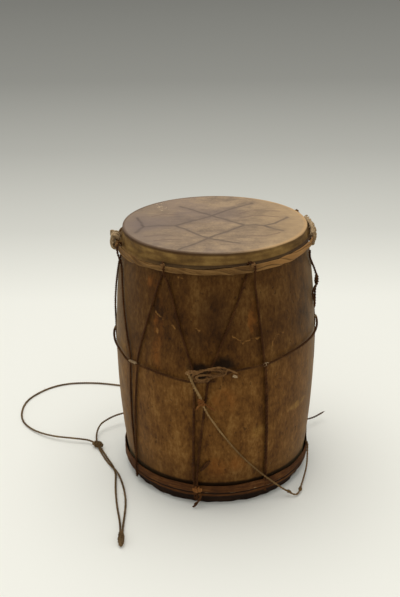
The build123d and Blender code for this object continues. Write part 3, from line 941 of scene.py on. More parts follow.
@dataclass(frozen=True)
class HeadFinish:
    """Scraped hide, handled grey, with a traditional drawing of crossing lines, and a darker side band."""

    main_lines: Lines = (
        ((-39.7, -10.6), (-7.0, -51.5), (30.1, -10.6)),
        ((-39.7, -9.5), (-1.9, 21.6), (30.1, -10.6)),
        ((-72.1, -12.5), (-56.0, -9.5), (-39.7, -10.6)),
        ((30.1, -10.6), (41.4, -10.6), (51.2, -12.5)),
        ((51.2, -12.5), (61.7, -5.1), (75.8, 13.8)),
        ((51.2, -12.5), (59.1, -25.2), (67.3, -30.6)),
        ((-72.1, -12.5), (-76.6, 2.4), (-80.6, 17.7)),
        ((-72.1, -12.5), (-76.5, -23.4), (-79.6, -32.3)),
        ((-1.9, 21.6), (20.7, 47.5), (41.2, 64.0)),
        ((-1.9, 21.6), (-22.5, 41.4), (-35.8, 55.7)),
        ((-7.0, -51.5), (-21.9, -68.3), (-35.9, -83.0)),
        ((-7.0, -51.5), (5.5, -58.3), (23.1, -66.6)),
    )
    fine_lines: Lines = (
        ((26.6, 27.5), (37.3, 37.4), (52.0, 38.5), (69.7, 35.4)),
        ((26.1, 13.8), (43.0, 21.6), (65.7, 15.8)),
        ((31.2, -42.8), (49.2, -46.3), (63.2, -35.9)),
        ((-70.5, -44.6), (-50.1, -39.4), (-39.0, -42.8)),
        ((-60.3, -56.6), (-47.2, -53.9), (-34.0, -53.2)),
        ((-66.0, 22.0), (-52.0, 30.0), (-38.0, 26.0)),
    )
    smoke: tuple[tuple[float, float], ...] = ((-72.0, -6.0), (-40.0, 8.0), (-14.0, 27.0), (10.0, 27.0))
    flecks: tuple[tuple[float, float], ...] = ((-57.0, 64.0), (-54.0, 48.0))

    def make(self) -> bpy.types.Material:
        """The material, on object places."""
        graph = Graph("played_hide")
        place = graph.place()
        x, y, z = graph.axes(place)
        broad = graph.noise(place, 15.0, 4.0, 0.6)
        blotch = graph.noise(place, 85.0, 5.0, 0.65)
        grain = graph.noise(place, 520.0, 3.0, 0.6)
        scrape = graph.noise(graph.stretched(place, (60.0, 260.0, 1.0)), 1.0, 4.0, 0.6)
        shade = broad * 0.5 + blotch * 0.5 + grain * 0.2 + scrape * 0.25 - 0.22
        disc = graph.ramp(
            shade, [(0.3, tone(102, 86, 72)), (0.48, tone(136, 115, 92)), (0.66, tone(168, 143, 111))]
        )
        disc = graph.mix(broad.rise(0.45, 0.62) * x.rise(0.06, -0.05) * 0.5, disc, tone(124, 106, 96))
        disc = graph.mix(x.rise(0.02, 0.09) * 0.5, disc, tone(176, 146, 104))
        disc = graph.mix(x.rise(0.0, -0.09) * 0.55, disc, tone(118, 102, 88))
        sway = graph.noise(place, 55.0, 2.0)
        point = graph.vector(x + (sway - 0.5) * 0.006, y + (blotch - 0.5) * 0.006)
        halo = self._ink(graph, point, self.main_lines, 0.0110, 0.0010) * (broad * 1.6 - 0.3).clamped()
        disc = graph.mix(halo * 0.4, disc, tone(106, 90, 79))
        drawn = self._ink(graph, point, self.main_lines, 0.0027, 0.0002) * (0.15 + blotch * 1.3).clamped()
        thin = self._ink(graph, point, self.fine_lines, 0.0018, 0.0004) * (0.15 + blotch * 1.1).clamped()
        smoke = graph.line_distance(point, self._metres(self.smoke)).rise(0.034, 0.002)
        smoke = smoke * (0.1 + broad * 1.3).clamped()
        disc = graph.mix(smoke * 0.62, disc, tone(110, 95, 90))
        disc = graph.mix(drawn * 0.8, disc, tone(84, 71, 63))
        disc = graph.mix(thin * 0.7, disc, tone(104, 82, 72))
        near = graph.line_distance(point, self._metres(self.flecks)).rise(0.009, 0.003)
        flecked = graph.noise(place, 330.0, 2.0).rise(0.6, 0.66) * near
        disc = graph.mix(flecked * 0.85, disc, tone(220, 196, 158))
        rim = (x * x + y * y) ** 0.5
        # Painted highlight along the head's right edge, then painted shade along its edge at the front and
        # left, where the hide bends over.
        disc = graph.mix(rim.rise(0.0895, 0.094) * x.rise(0.0, 0.06) * 0.6, disc, tone(190, 152, 104))
        disc = graph.mix(rim.rise(0.0915, 0.0945) * x.rise(0.05, -0.03) * 0.75, disc, tone(84, 62, 44))
        strip = graph.noise(graph.stretched(place, (34.0, 34.0, 160.0)), 1.0, 4.0)
        band = graph.ramp(
            strip * 0.7 + blotch * 0.5 - 0.1,
            [(0.3, tone(73, 51, 20)), (0.48, tone(106, 78, 37)), (0.66, tone(136, 106, 56))],
        )
        level = z + y * SIZES.head_tilt
        # Darker just under the head's rim, most at the front and left.
        under_rim_dark = level.rise(0.2735, 0.2755) * (1.2 - x.rise(-0.02, 0.09) * 0.8 - broad * 0.5).clamped()
        band = graph.mix(under_rim_dark * 0.85, band, tone(58, 34, 14))
        hung = z - (SIZES.hoop_low_front * MM) - x * (SIZES.hoop_tilt / UPPER.inner)
        hung = hung + y * (SIZES.head_tilt / 2)
        shaded = hung.rise(0.2697, 0.2685) * (0.15 + x.rise(-0.08, -0.035) * 0.65)
        band = graph.mix(shaded, band, tone(42, 25, 10))
        top = level.rise(0.2762, 0.2774)
        colour = graph.mix(top, band, disc)
        relief = blotch * 0.5 + grain * 0.35 + strip * 0.4
        rough = 0.6 + blotch * 0.2
        return graph.finish(colour, rough, graph.bump(relief, 0.0005, 0.6), Specular_IOR_Level=0.15)

    @staticmethod
    def _metres(line: Line) -> list[Corner]:
        """A line's corners in metres."""
        return [(x * MM, y * MM) for x, y in line]

    def _ink(self, graph: Graph, point: Value, lines: Sequence[Any], outer: float, inner: float) -> Value:
        """Drawn lines as a mask.

        Args:
            graph: the material's graph.
            point: where on the head.
            lines: the lines.
            outer: half width at which a line ends.
            inner: half width up to which it is full.

        Returns:
            A mask from 0 to 1.
        """
        total: Optional[Value] = None
        for line in lines:
            away = graph.line_distance(point, self._metres(line))
            total = away if total is None else total.least(away)
        return total.rise(outer, inner)


@dataclass(frozen=True)
class StripFinish:
    """Strips of bast or bark along a hoop: long fibres along it, painted highlights on the ridges and painted
    shade in the seams, the groove and underneath.
    """

    name: str
    dark: Colour
    mid: Colour
    light: Colour
    fine: float = 9.0
    rough: float = 0.75
    strips: int = 0
    groove: float = 0.0

    def make(self) -> bpy.types.Material:
        """The material, on the hoop's UV map: u round the drum in tenths of a metre, v round the section."""
        graph = Graph(self.name)
        uv = graph.uv()
        fibre = graph.noise(graph.stretched(uv, (5.0, self.fine * 4, 1.0)), 1.0, 5.0, 0.65)
        patchiness = graph.noise(graph.place(), 42.0, 4.0, 0.6)
        colour = graph.ramp(
            fibre * 0.6 + patchiness * 0.6 - 0.1, [(0.3, self.dark), (0.5, self.mid), (0.74, self.light)]
        )
        if self.strips:
            _, across, _ = graph.axes(uv)
            step = (across * float(self.strips) + (fibre - 0.5) * 0.12).fraction()
            seam_shade = step.rise(0.2, 0.02).most(step.rise(0.9, 0.99))
            side, _, _ = graph.axes(graph.place())
            # Painted highlight towards the right, painted shade in the seams between strips, stronger at the
            # right, and a patchy painted highlight along each strip's ridge.
            colour = graph.mix(side.rise(0.02, 0.07) * 0.65, colour, tone(164, 118, 66))
            colour = graph.mix(seam_shade * (0.3 + side.rise(0.0, 0.05) * 0.3), colour, tone(44, 26, 10))
            colour = graph.mix(step.rise(0.5, 0.85) * patchiness * 0.6, colour, self.light)
        if self.groove:
            # Painted shade: near-black in the groove between the two bands, and darker along the hoop's lower
            # edge, below about 12 mm.
            _, _, level = graph.axes(graph.place())
            near = (level + (fibre - 0.5) * 0.0008 - self.groove) * 900.0
            colour = graph.mix((near * near).rise(1.0, 0.0) * 0.9, colour, tone(16, 8, 3))
            colour = graph.mix(level.rise(0.0125, 0.0105) * 0.7, colour, tone(24, 12, 5))
        rough = fibre * 0.2 + (self.rough - 0.1)
        return graph.finish(colour, rough, graph.bump(fibre, 0.0007, 0.8), Specular_IOR_Level=0.12)


@dataclass(frozen=True)
class CaneFinish:
    """Split cane inside the rolled hides."""

    def make(self) -> bpy.types.Material:
        """The material, on object places."""
        graph = Graph("split_cane")
        fibre = graph.noise(graph.stretched(graph.place(), (30.0, 30.0, 700.0)), 1.0, 4.0)
        colour = graph.ramp(fibre, [(0.3, tone(92, 68, 38)), (0.7, tone(150, 120, 76))])
        return graph.finish(colour, 0.6 + fibre * 0.1, graph.bump(fibre, 0.0003, 0.6))


class Finishes:
    """Every finish of the drum, made once."""

    def __init__(self) -> None:
        """Make the materials."""
        self.wood = WoodFinish().make()
        self.head = HeadFinish().make()
        self.rim = StripFinish(
            "rim_strip", tone(60, 37, 14), tone(97, 67, 32), tone(150, 114, 66), strips=3
        ).make()
        self.bark = StripFinish(
            "bark_hoop", tone(40, 20, 6), tone(78, 45, 17), tone(118, 78, 38), fine=5.0, groove=0.0146
        ).make()
        # The lower hide's near-black colour is partly its own dark hide and partly painted shade under the
        # drum's lower edge.
        self.foot = StripFinish("foot_hide_dark_and_shade", tone(20, 11, 5), tone(34, 19, 8), tone(54, 33, 16), 5.0).make()
        self.cane = CaneFinish().make()
        self.lace = CordFinish("lace_cord", tone(36, 18, 5), tone(64, 36, 13), tone(104, 68, 32)).make()
        self.waist = CordFinish("waist_cord", tone(34, 18, 6), tone(62, 36, 13), tone(106, 71, 34)).make()
        self.tie = CordFinish(
            "tie_cord", tone(92, 67, 36), tone(136, 107, 67), tone(180, 152, 106), browned=0.55
        ).make()
        self.spare = CordFinish("spare_end", tone(66, 42, 20), tone(112, 79, 45), tone(152, 116, 74)).make()
        self.carry = CordFinish("carry_cord", tone(64, 46, 26), tone(102, 80, 52), tone(142, 118, 84)).make()
        self.bast = CordFinish("raw_bast", tone(92, 71, 47), tone(156, 131, 97), tone(208, 185, 149)).make()
        self.rust = CordFinish("reddish_bast", tone(66, 35, 12), tone(112, 67, 29), tone(160, 112, 62)).make()


def dress(
    piece: bpy.types.Object,
    material: bpy.types.Material,
    slot: Slot,
    *nodes: str,
    body: Optional[Body] = Body.DRUM,
) -> bpy.types.Object:
    """Give a piece its finish, put it on the body that it rides on, and hide the solids that it stands for.

    Args:
        piece: the piece.
        material: its material.
        slot: not used.
        nodes: the frame's nodes that it replaces.
        body: the body that it rides on, or none for a piece that runs between two and rides on neither.

    Returns:
        The piece.
    """
    if body is not None:
        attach(piece, body.value)
    piece.data.materials.append(material)
    if nodes:
        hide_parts(*nodes)
    LOG.info("%s: %d points", piece.name, len(piece.data.vertices))
    return piece


def stray_fibres(
    name: str, path: Array, count: int, seed: int, reach: float, material: bpy.types.Material, slot: Slot
) -> bpy.types.Object:
    """The stray fibres of a free cord, as a piece of their own.

    Args:
        name: the piece's name.
        path: the cord's middle line.
        count: number of fibres.
        seed: picks their places.
        reach: their length.
        material: the cord's material.
        slot: the cord's slot.

    Returns:
        The piece, riding on the drum.
    """
    piece = make_piece(name, fibres(path, count, seed, reach))
    return dress(piece, material, slot)


# Sub-assemblies


def ripple(turn: Array, seed: int, waves: Sequence[int]) -> Array:
    """Noise round the drum that closes on itself: a mean of sines with whole numbers of waves.

    Args:
        turn: angles in radians.
        seed: picks the phases.
        waves: waves in a full turn, one for each sine.

    Returns:
        Noise from about -1 to 1.
    """
    phases = np.random.default_rng(seed).uniform(0, 2 * math.pi, len(waves))
    return np.sin(turn[..., None] * np.array(waves) + phases).mean(-1) * 1.5


def lathe(profile: Array, angles: Array) -> tuple[Array, Array]:
    """Radii and heights of a profile spread over angles.

    Args:
        profile: rows of radius and height.
        angles: degrees.

    Returns:
        Radii and heights as grids of profile rows by angles.
    """
    wide = np.ones((1, len(angles)))
    return profile[:, :1] * wide, profile[:, 1:] * wide


def turned_uv(angles: Array, radius: float, across: Array, scale: float) -> Array:
    """A UV grid for a turned piece.

    Args:
        angles: the columns' angles in degrees; one more column closes the turn.
        radius: radius at which lengths round the piece are taken, in millimetres.
        across: v of each row, with one more for the row that closes it.
        scale: u for each millimetre.

    Returns:
        The grid of u and v.
    """
    around = np.append(angles, angles[0] + 360.0)
    u = np.radians(around) * radius * scale
    return np.stack(np.broadcast_arrays(u[None, :], across[:, None]), axis=-1)


@dataclass
class Shell:
    """The hollowed wooden barrel."""

    finishes: Finishes
    rows: int = 130
    cols: int = 420
    inside_rows: int = 24
    edge_gap: float = 0.1
    dent: float = 0.22

    def build(self) -> None:
        """The barrel as one closed turned surface, with its outside a little uneven from the adze."""
        heights = np.linspace(SIZES.hide + self.edge_gap, SIZES.shell_top - self.edge_gap, self.rows)
        outside = np.column_stack([SIZES.radius(heights), heights])
        inside_heights = np.linspace(heights[-1], heights[0], self.inside_rows)
        inside = np.column_stack([SIZES.radius(inside_heights) - SIZES.wall, inside_heights])
        profile = np.concatenate([outside, inside])
        angles = round_angles(self.cols)
        radii, levels = lathe(profile, angles)
        turn = np.radians(angles)[None, :]
        lean = turn + levels * 0.004
        uneven = ripple(lean, 4, (5, 9, 14, 23)) * ripple(levels * 0.035 + 2 * turn, 5, (1, 2, 3))
        radii[: self.rows] -= self.dent * (1 + uneven[: self.rows])
        points = lean_head(polar(angles[None, :], radii, levels), 0.0)
        uv = turned_uv(angles, SIZES.belly_radius, np.append(profile[:, 1], profile[0, 1]) * MM, MM)
        piece = make_piece("shell_wood", [Patch(points, wrap_rows=True, uv=uv)])
        dress(piece, self.finishes.wood, Slot.WOOD, "shell")


@dataclass
class UpperHead:
    """The played hide with its side band, and the twisted bast strips over its rolled edge."""

    finishes: Finishes
    cols: int = 720
    strips: int = 3
    twist: int = 15
    ridge: float = 1.0

    def build(self) -> None:
        """The hide and the rim strip."""
        self._hide()
        self._rim()

    def _hide(self) -> None:
        """The hide as one thin closed sheet: flat head, band, and a groove that runs under the strip."""
        top = SIZES.height
        under = np.column_stack([np.linspace(3, 92, 24), np.full(24, top - 0.75)])
        inner = np.array([
            (93.2, 277.2), (94.0, 276.2), (94.7, 273.8), (95.3, 271.2), (95.8, 269.3),
            (96.5, 267.9), (97.8, 267.1), (98.8, 267.0), (99.6, 267.3),
        ])
        groove = np.array([
            (99.7, 268.1), (98.8, 267.8), (98.0, 267.9), (97.2, 268.4), (96.7, 269.2),
            (96.3, 270.2),
        ])
        share = np.linspace(0, 1, 14)
        band = np.column_stack([96.05 - 1.2 * share, 271.0 + 5.5 * share])
        bend = np.radians(np.linspace(8, 90, 9))
        edge = np.column_stack([93.55 + 1.3 * np.cos(bend), top - 1.3 + 1.3 * np.sin(bend)])
        disc = np.column_stack([np.linspace(93.0, 3.0, 46), np.full(46, top)])
        profile = np.concatenate([under, inner, groove, band, edge, disc])
        angles = round_angles(self.cols)
        radii, levels = lathe(profile, angles)
        turn = np.radians(angles)[None, :]
        side = (levels[:, :1] < 277.0) * 1.0
        levels += np.clip((276.0 - levels) / 7.0, 0, 1) * hoop_sag(angles)[None, :]
        radii += side * (0.22 * ripple(turn + levels * 0.02, 21, (7, 13, 22, 37)) - 0.1)
        levels += side * 0.35 * ripple(turn, 22, (5, 11, 17))
        flat = (profile[:, 0] < 93.2)[:, None] & (levels > 277.0)
        levels += flat * (0.16 * ripple(turn + radii * 0.03, 23, (2, 3, 5)) - 0.16)
        points = lean_head(polar(angles[None, :], radii, levels), 3.0)
        piece = make_piece("upper_hide", [Patch(points, pole_start=True, pole_end=True)])
        dress(piece, self.finishes.head, Slot.UPPER_HIDE, "upper_skin")

    def _rim(self) -> None:
        """Flat bast strips twisted along the hoop: a rounded section with steps that wind round it."""
        angles = round_angles(self.cols)
        turn = np.radians(angles)[None, :]
        around = full_turn(40)[:, None]
        middle_radius = (UPPER.inner + UPPER.roll_outer) / 2
        half_thick = (UPPER.roll_outer - UPPER.inner) / 2 - 0.15
        half_high = (UPPER.high - UPPER.low) / 2 - 0.2
        wind = around + turn * self.twist / self.strips + 1.1 * ripple(turn, 31, (3, 7, 12))
        step = (wind * self.strips / (2 * math.pi)) % 1.0
        strength = self.ridge * (0.35 + 0.65 * np.clip((np.abs(angles[None, :] - 5) - 5) / 40, 0, 1))
        lift = strength * (np.minimum(step / 0.82, (1 - step) / 0.18) - 0.75)
        lift = lift + 0.25 * ripple(turn, 32, (9, 19, 31)) * np.cos(around)
        reach = squared(np.cos(around), 0.9)
        height = squared(np.sin(around), 0.9)
        radii = middle_radius + reach * (half_thick + lift)
        slim = 0.9 * np.exp(-(((angles[None, :] + 25) / 45) ** 2))
        sag = 0.3 * ripple(turn, 33, (2, 5, 9)) + hoop_sag(angles)[None, :]
        levels = (UPPER.high + UPPER.low) / 2 + sag
        levels = levels + height * (half_high - slim + lift + 0.4 * ripple(turn, 34, (4, 10)))
        points = polar(angles[None, :], radii, levels)
        uv = turned_uv(angles, middle_radius, np.linspace(0, 1, 41), 0.01)
        lay = (turn * self.twist / self.strips + 1.1 * ripple(turn, 31, (3, 7, 12))) / (2 * math.pi)
        closing = lay[:, :1] + self.twist / self.strips
        uv[..., 1] += np.concatenate([lay, closing], axis=1)
        piece = make_piece("upper_rim_strip", [Patch(points, wrap_rows=True, uv=uv)])
        dress(piece, self.finishes.rim, Slot.BAST, "upper_skin")


@dataclass
class LowerHead:
    """The lower hide and the two bark-dark bands over its rolled edge."""

    finishes: Finishes
    cols: int = 640
    groove_height: float = 14.6
    groove_depth: float = 0.7

    def build(self) -> None:
        """The hide and the strip."""
        self._hide()
        self._strip()

    def _hide(self) -> None:
        """The hide: a flat foot, a short band, and a flare under the strip."""
        disc = np.column_stack([np.linspace(3, 95.0, 30), np.zeros(30)])
        bend = np.radians(np.linspace(-80, -5, 8))
        edge = np.column_stack([95.8 + 1.3 * np.cos(bend), 1.3 + 1.3 * np.sin(bend)])
        flare = np.array([
            (97.4, 3.4), (97.9, 5.8), (98.6, 8.0), (99.4, 9.8), (100.4, 11.0), (101.5, 11.9),
        ])
        back = np.array([
            (101.5, 12.8), (100.2, 12.3), (99.0, 11.2), (97.9, 9.6), (97.0, 7.4), (96.8, 4.4),
            (96.2, 1.5),
        ])
        over = np.column_stack([np.linspace(95.0, 3.0, 20), np.full(20, 0.75)])
        profile = np.concatenate([disc, edge, flare, back, over])
        angles = round_angles(self.cols)
        radii, levels = lathe(profile, angles)
        turn = np.radians(angles)[None, :]
        side = (levels[:, :1] > 1.2) * 1.0
        radii += side * (0.25 * ripple(turn + levels * 0.03, 41, (8, 15, 27)) - 0.1)
        ragged = np.clip(1 - np.abs(levels - 1.6) / 3.0, 0, 1) * (radii > 96.0)
        radii += ragged * (1.0 * ripple(turn, 42, (6, 13, 24)) + 0.5 * ripple(turn, 43, (31, 47)))
        points = polar(angles[None, :], radii, levels)
        uv = turned_uv(angles, 97.0, np.linspace(0, 1, len(profile) + 1), 0.01)
        piece = make_piece("lower_hide", [Patch(points, pole_start=True, pole_end=True, uv=uv)])
        dress(piece, self.finishes.foot, Slot.LOWER_HIDE, "lower_skin")

    def _strip(self) -> None:
        """Two bands with a groove between them, uneven like bark."""
        angles = round_angles(self.cols)
        turn = np.radians(angles)[None, :]
        around = full_turn(56)[:, None]
        middle_radius = (LOWER.inner + LOWER.roll_outer) / 2
        half_thick = (LOWER.roll_outer - LOWER.inner) / 2 - 0.2
        half_high = (LOWER.high - LOWER.low) / 2 - 0.3
        reach = squared(np.cos(around), 0.45)
        height = squared(np.sin(around), 0.8)
        rough = 0.3 * ripple(turn, 51, (11, 23, 40)) + 0.22 * ripple(turn + 3 * around, 52, (6, 13, 29))
        levels = (LOWER.high + LOWER.low) / 2 + height * (half_high + 0.5 * ripple(turn, 53, (3, 8, 17)))
        course = self.groove_height + 0.25 * ripple(turn, 54, (2, 5, 9))
        cut = self.groove_depth * np.exp(-(((levels - course) / 0.7) ** 2))
        radii = middle_radius + reach * (half_thick + rough - cut - 0.1)
        points = polar(angles[None, :], radii, levels)
        uv = turned_uv(angles, middle_radius, np.linspace(0, 1, 57), 0.01)
        piece = make_piece("lower_rim_strip", [Patch(points, wrap_rows=True, uv=uv)])
        dress(piece, self.finishes.bark, Slot.LOWER_HIDE, "lower_skin")


@dataclass
class FleshHoops:
    """The cane hoops inside the rolled edges; the strips hide them."""

    finishes: Finishes
    half_thick: float = 0.2

    def build(self) -> None:
        """Both hoops."""
        self._hoop("upper_cane", UPPER, hoop_sag, "upper_flesh_hoop")
        self._hoop("lower_cane", LOWER, np.zeros_like, "lower_flesh_hoop")

    def _hoop(self, name: str, place: HoopPlace, shift: Any, node: str) -> None:
        """One hoop, flat and upright.

        Args:
            name: the piece's name.
            place: where the rolled edge lies.
            shift: how far it stands above its level place at each angle.
            node: the solid that it stands for.
        """
        angles = round_angles(180)
        around = full_turn(12)[:, None]
        half_high = (place.high - place.low) / 2 - 2.2
        radii = (place.inner + place.roll_outer) / 2 - 0.2 + self.half_thick * np.cos(around)
        levels = (place.high + place.low) / 2 + half_high * np.sin(around) + shift(angles)[None, :]
        piece = make_piece(name, [Patch(polar(angles[None, :], radii, levels), wrap_rows=True)])
        dress(piece, self.finishes.cane, Slot.CANE, node)


@dataclass
class Lacing:
    """The V-shaped laces above the waist and the pairs of strands below it."""

    finishes: Finishes
    rope: Rope = Rope(radius=1.2, pitch=5.6)
    front_rope: Rope = Rope(radius=1.45, pitch=8.0, sides=9, lump=0.08)
    steps: int = 26
    lace_top: Mapping[int, float] = field(
        default_factory=lambda: {1: -74.0, 2: -30.3, 3: 19.0, 5: 119.0, 6: 171.0, 7: 229.0}
    )
    turn_widths: Mapping[int, float] = field(default_factory=lambda: {3: 6.0})
    waist_angle: tuple[float, ...] = (-96.2, -51.4, -8.5, 26.2, 94.0, 145.0, 200.0)
    waist_height: tuple[float, ...] = (153.0, 152.0, 150.0, 163.6, 165.7, 157.0, 154.5)
    pair_spread: tuple[float, ...] = (5.0, 12.0, 13.0, 2.8, 3.0, 5.0, 5.0)
    stem_foot: tuple[float, ...] = (-104.0, -57.8, -13.0, 28.9, 97.0, 148.0, 197.0)
    turn_width: float = 3.4
    clear_run: float = 12.6
    upright_run: float = 6.3
    joint_gap: float = 0.15
    thick_stem: int = 3
    tagged_stem: int = 2

    def build(self) -> None:
        """All laces and strands; each runs between the drum and the waist and rides on neither body."""
        for number in self.lace_top:
            path = spline_points(self._lace_route(number), self.steps)
            patches = self.rope.patches(path, 100 + number) + fibres(path, 26, 110 + number, 5.0)
            piece = make_piece(f"lace_cord_{number}", patches)
            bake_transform(piece)
            dress(piece, self.finishes.lace, Slot.LACE, f"lace_{number}", body=None)
        self._ties()
        for number in range(len(self.stem_foot)):
            patches = self._thick_stem() if number == self.thick_stem else self._stem(number)
            piece = make_piece(f"stem_cord_{number}", patches)
            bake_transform(piece)
            dress(piece, self.finishes.lace, Slot.LACE, f"stem_{number}", body=None)

    def _ties(self) -> None:
        """A small bast tie where each lace goes round the upper strip."""
        patches = []
        for number, angle in self.lace_top.items():
            middle = polar(angle + 0.5, UPPER.cord_front - 0.2, UPPER.high + 0.2 + hoop_sag(angle))
            across = polar(angle + 90, 0.6, 0.8)
            patches += knot_patches(middle, across, 5.6, 2.1, 2.2, 0.8, 40 + number)
        piece = make_piece("lace_ties", patches)
        dress(piece, self.finishes.spare, Slot.BAST)

    @staticmethod
    def _turn_angles(middle: float, place: HoopPlace, width: float) -> tuple[float, float]:
        """Angles at which a turn of some width goes up behind a hoop and comes down before it."""
        half = width / 2
        return middle - math.degrees(half / place.cord_back), middle + math.degrees(half / place.cord_front)

    def _leg(self, top_angle: float, top: float, foot_angle: float, foot: float) -> Array:
        """A lace's leg on the shell, from under the hoop down to the waist."""
        share = np.linspace(0, 1, 5)
        bottom = foot + self.upright_run
        heights = top + share * (bottom - top)
        angles = top_angle + (foot_angle - top_angle) * (UPPER.cord_low - heights) / (UPPER.cord_low - bottom)
        run = polar(angles, SIZES.on_shell(heights), heights)
        return np.concatenate([run, polar(foot_angle, SIZES.on_shell(foot), foot)[None]])

    def _lace_route(self, number: int) -> Array:
        """The route of one V: up from one pair, round the upper hoop and down to the next pair."""
        left, right = number - 1, number % 7
        width = self.turn_widths.get(number, self.turn_width)
        back, front = self._turn_angles(self.lace_top[number], UPPER, width)
        half = math.degrees(1 / 2 / SIZES.belly_radius)
        left_angle = self.waist_angle[left] + self.pair_spread[left] * half
        right_angle = self.waist_angle[right] - self.pair_spread[right] * half
        right_angle += 360.0 if right < left else 0.0
        top = UPPER.cord_low - self.clear_run
        down = self._leg(back, top, left_angle, self.waist_height[left] + self.joint_gap)
        away = self._leg(front, top, right_angle, self.waist_height[right] + self.joint_gap)
        sag = hoop_sag(self.lace_top[number])
        turn = np.array([
            polar(back, UPPER.cord_back, UPPER.cord_low + sag),
            polar(back, UPPER.cord_back, UPPER.cord_high + sag),
            polar(front, UPPER.cord_front, UPPER.cord_high + sag),
            polar(front, UPPER.cord_front, UPPER.cord_low + sag),
        ])
        return np.concatenate([down[::-1], turn, away])

    def _stem_leg(self, start: float, height: float, foot: float, lift: float = 0.0) -> Array:
        """One strand from the waist down to just above the lower hoop; a thick one is lifted."""
        heights = np.linspace(height, LOWER.cord_high + self.clear_run, 5)
        angles = np.linspace(start, foot, 5)
        return polar(angles, SIZES.on_shell(heights) + lift, heights)

    def _stem(self, number: int) -> list[Patch]:
        """A pair of strands that goes down from the waist and round the lower hoop."""
        half = math.degrees(self.pair_spread[number] / 2 / SIZES.belly_radius)
        back, front = self._turn_angles(self.stem_foot[number], LOWER, self.turn_width)
        height = self.waist_height[number] - self.joint_gap
        turn = np.array([
            polar(back, LOWER.cord_back, LOWER.cord_high),
            polar(back, LOWER.cord_back, LOWER.cord_low),
            polar(front, LOWER.cord_front, LOWER.cord_low),
            polar(front, LOWER.cord_front, LOWER.cord_high),
        ])
        rope = self.front_rope if number == self.tagged_stem else self.rope
        lift = rope.radius - self.rope.radius
        left = self._stem_leg(self.waist_angle[number] - half, height, back, lift)
        right = self._stem_leg(self.waist_angle[number] + half, height, front, lift)
        path = spline_points(np.concatenate([left, turn, right[::-1]]), self.steps + 8)
        patches = rope.patches(path, 200 + number) + fibres(path, 30, 210 + number, 5.0)
        if number == self.tagged_stem:
            tag = np.array([
                over_shell(-9.7, 1.5, 43.0), over_shell(-7.0, 2.0, 51.0),
                over_shell(-4.5, 2.8, 57.0),
            ])
            leaf = Rope(radius=2.1, plies=1, taper_start=4.0, taper_end=4.0)
            patches += leaf.patches(spline_points(tag, 14), 230)
        return patches

    def _thick_stem(self) -> list[Patch]:
        """The pair whose strands are twisted together; it goes down behind the lower hoop."""
        number = self.thick_stem
        height = self.waist_height[number] - self.joint_gap
        twist = Rope(radius=1.7, pitch=9.5, sides=10, lump=0.08)
        lift = twist.radius - self.rope.radius
        leg = self._stem_leg(self.waist_angle[number], height, self.stem_foot[number], lift)
        ends = np.array([LOWER.cord_high, LOWER.cord_low + 2])
        foot = polar(self.stem_foot[number] + 0.6, LOWER.cord_back, ends)
        path = spline_points(np.concatenate([leg, foot]), self.steps + 4)
        return twist.patches(path, 203) + fibres(path, 30, 213, 5.0)


@dataclass
class Lashings:
    """Bast bound over the upper hoop at the two sides."""

    finishes: Finishes
    right: tuple[float, float, int] = (74.0, 108.0, 5)
    left: tuple[float, float, int] = (-93.0, -83.0, 3)

    def build(self) -> None:
        """The right and the left binding."""
        cord = Rope(radius=1.25, pitch=7.0, lump=0.2, flat=0.85)
        ribbon = Rope(radius=2.2, plies=3, pitch=40.0, sides=9, lump=0.2, flat=0.7)
        for name, turns, rope, bulge in (("right", self.right, cord, 0.0), ("left", self.left, ribbon, 3.0)):
            path = spline_points(self._route(*turns, bulge), 16)
            patches = rope.patches(path, 300) + fibres(path, 18, 301, 6.0)
            if name == "right":
                middle = (UPPER.inner + UPPER.roll_outer) / 2
                patches += self._core(turns[0] + 3.0, turns[1] - 3.0, middle, 1.4)
            else:
                patches += self._core(turns[0] + 0.5, turns[1] - 0.5, UPPER.roll_outer + 2.2, -2.4)
            piece = make_piece(f"upper_binding_{name}", patches)
            dress(piece, self.finishes.bast, Slot.BAST, f"upper_lashing_{name}")

    @staticmethod
    def _core(start: float, end: float, middle: float, lift: float) -> list[Patch]:
        """A thick strand that the turns are wound over.

        Args:
            start: first angle.
            end: last angle.
            middle: its radius round the drum.
            lift: how far it lies above the strip's top.

        Returns:
            Its patches.
        """
        angles = np.linspace(start, end, 7)
        path = spline_points(polar(angles, middle, UPPER.high + lift + hoop_sag(angles)), 14)
        return Rope(radius=2.4, plies=3, pitch=22.0, sides=9, lump=0.2).patches(path, 302)

    @staticmethod
    def _route(start: float, end: float, turns: int, bulge: float) -> Array:
        """Turns round the hoop: outside high, outside low, inside low, inside high, on and on.

        Args:
            start: first angle.
            end: last angle.
            turns: number of turns.
            bulge: how much further out the turns stand.

        Returns:
            The route's points.
        """
        steps = 4 * turns + 1
        angles = np.linspace(start, end, steps)
        place = np.arange(steps) % 4
        outside = (place == 0) | (place == 1)
        upper = (place == 0) | (place == 3)
        radii = np.where(outside, UPPER.cord_front + bulge, UPPER.cord_back)
        heights = np.where(upper, UPPER.cord_high + bulge / 2, UPPER.cord_low - bulge / 2)
        return polar(angles, radii, heights + hoop_sag(angles))


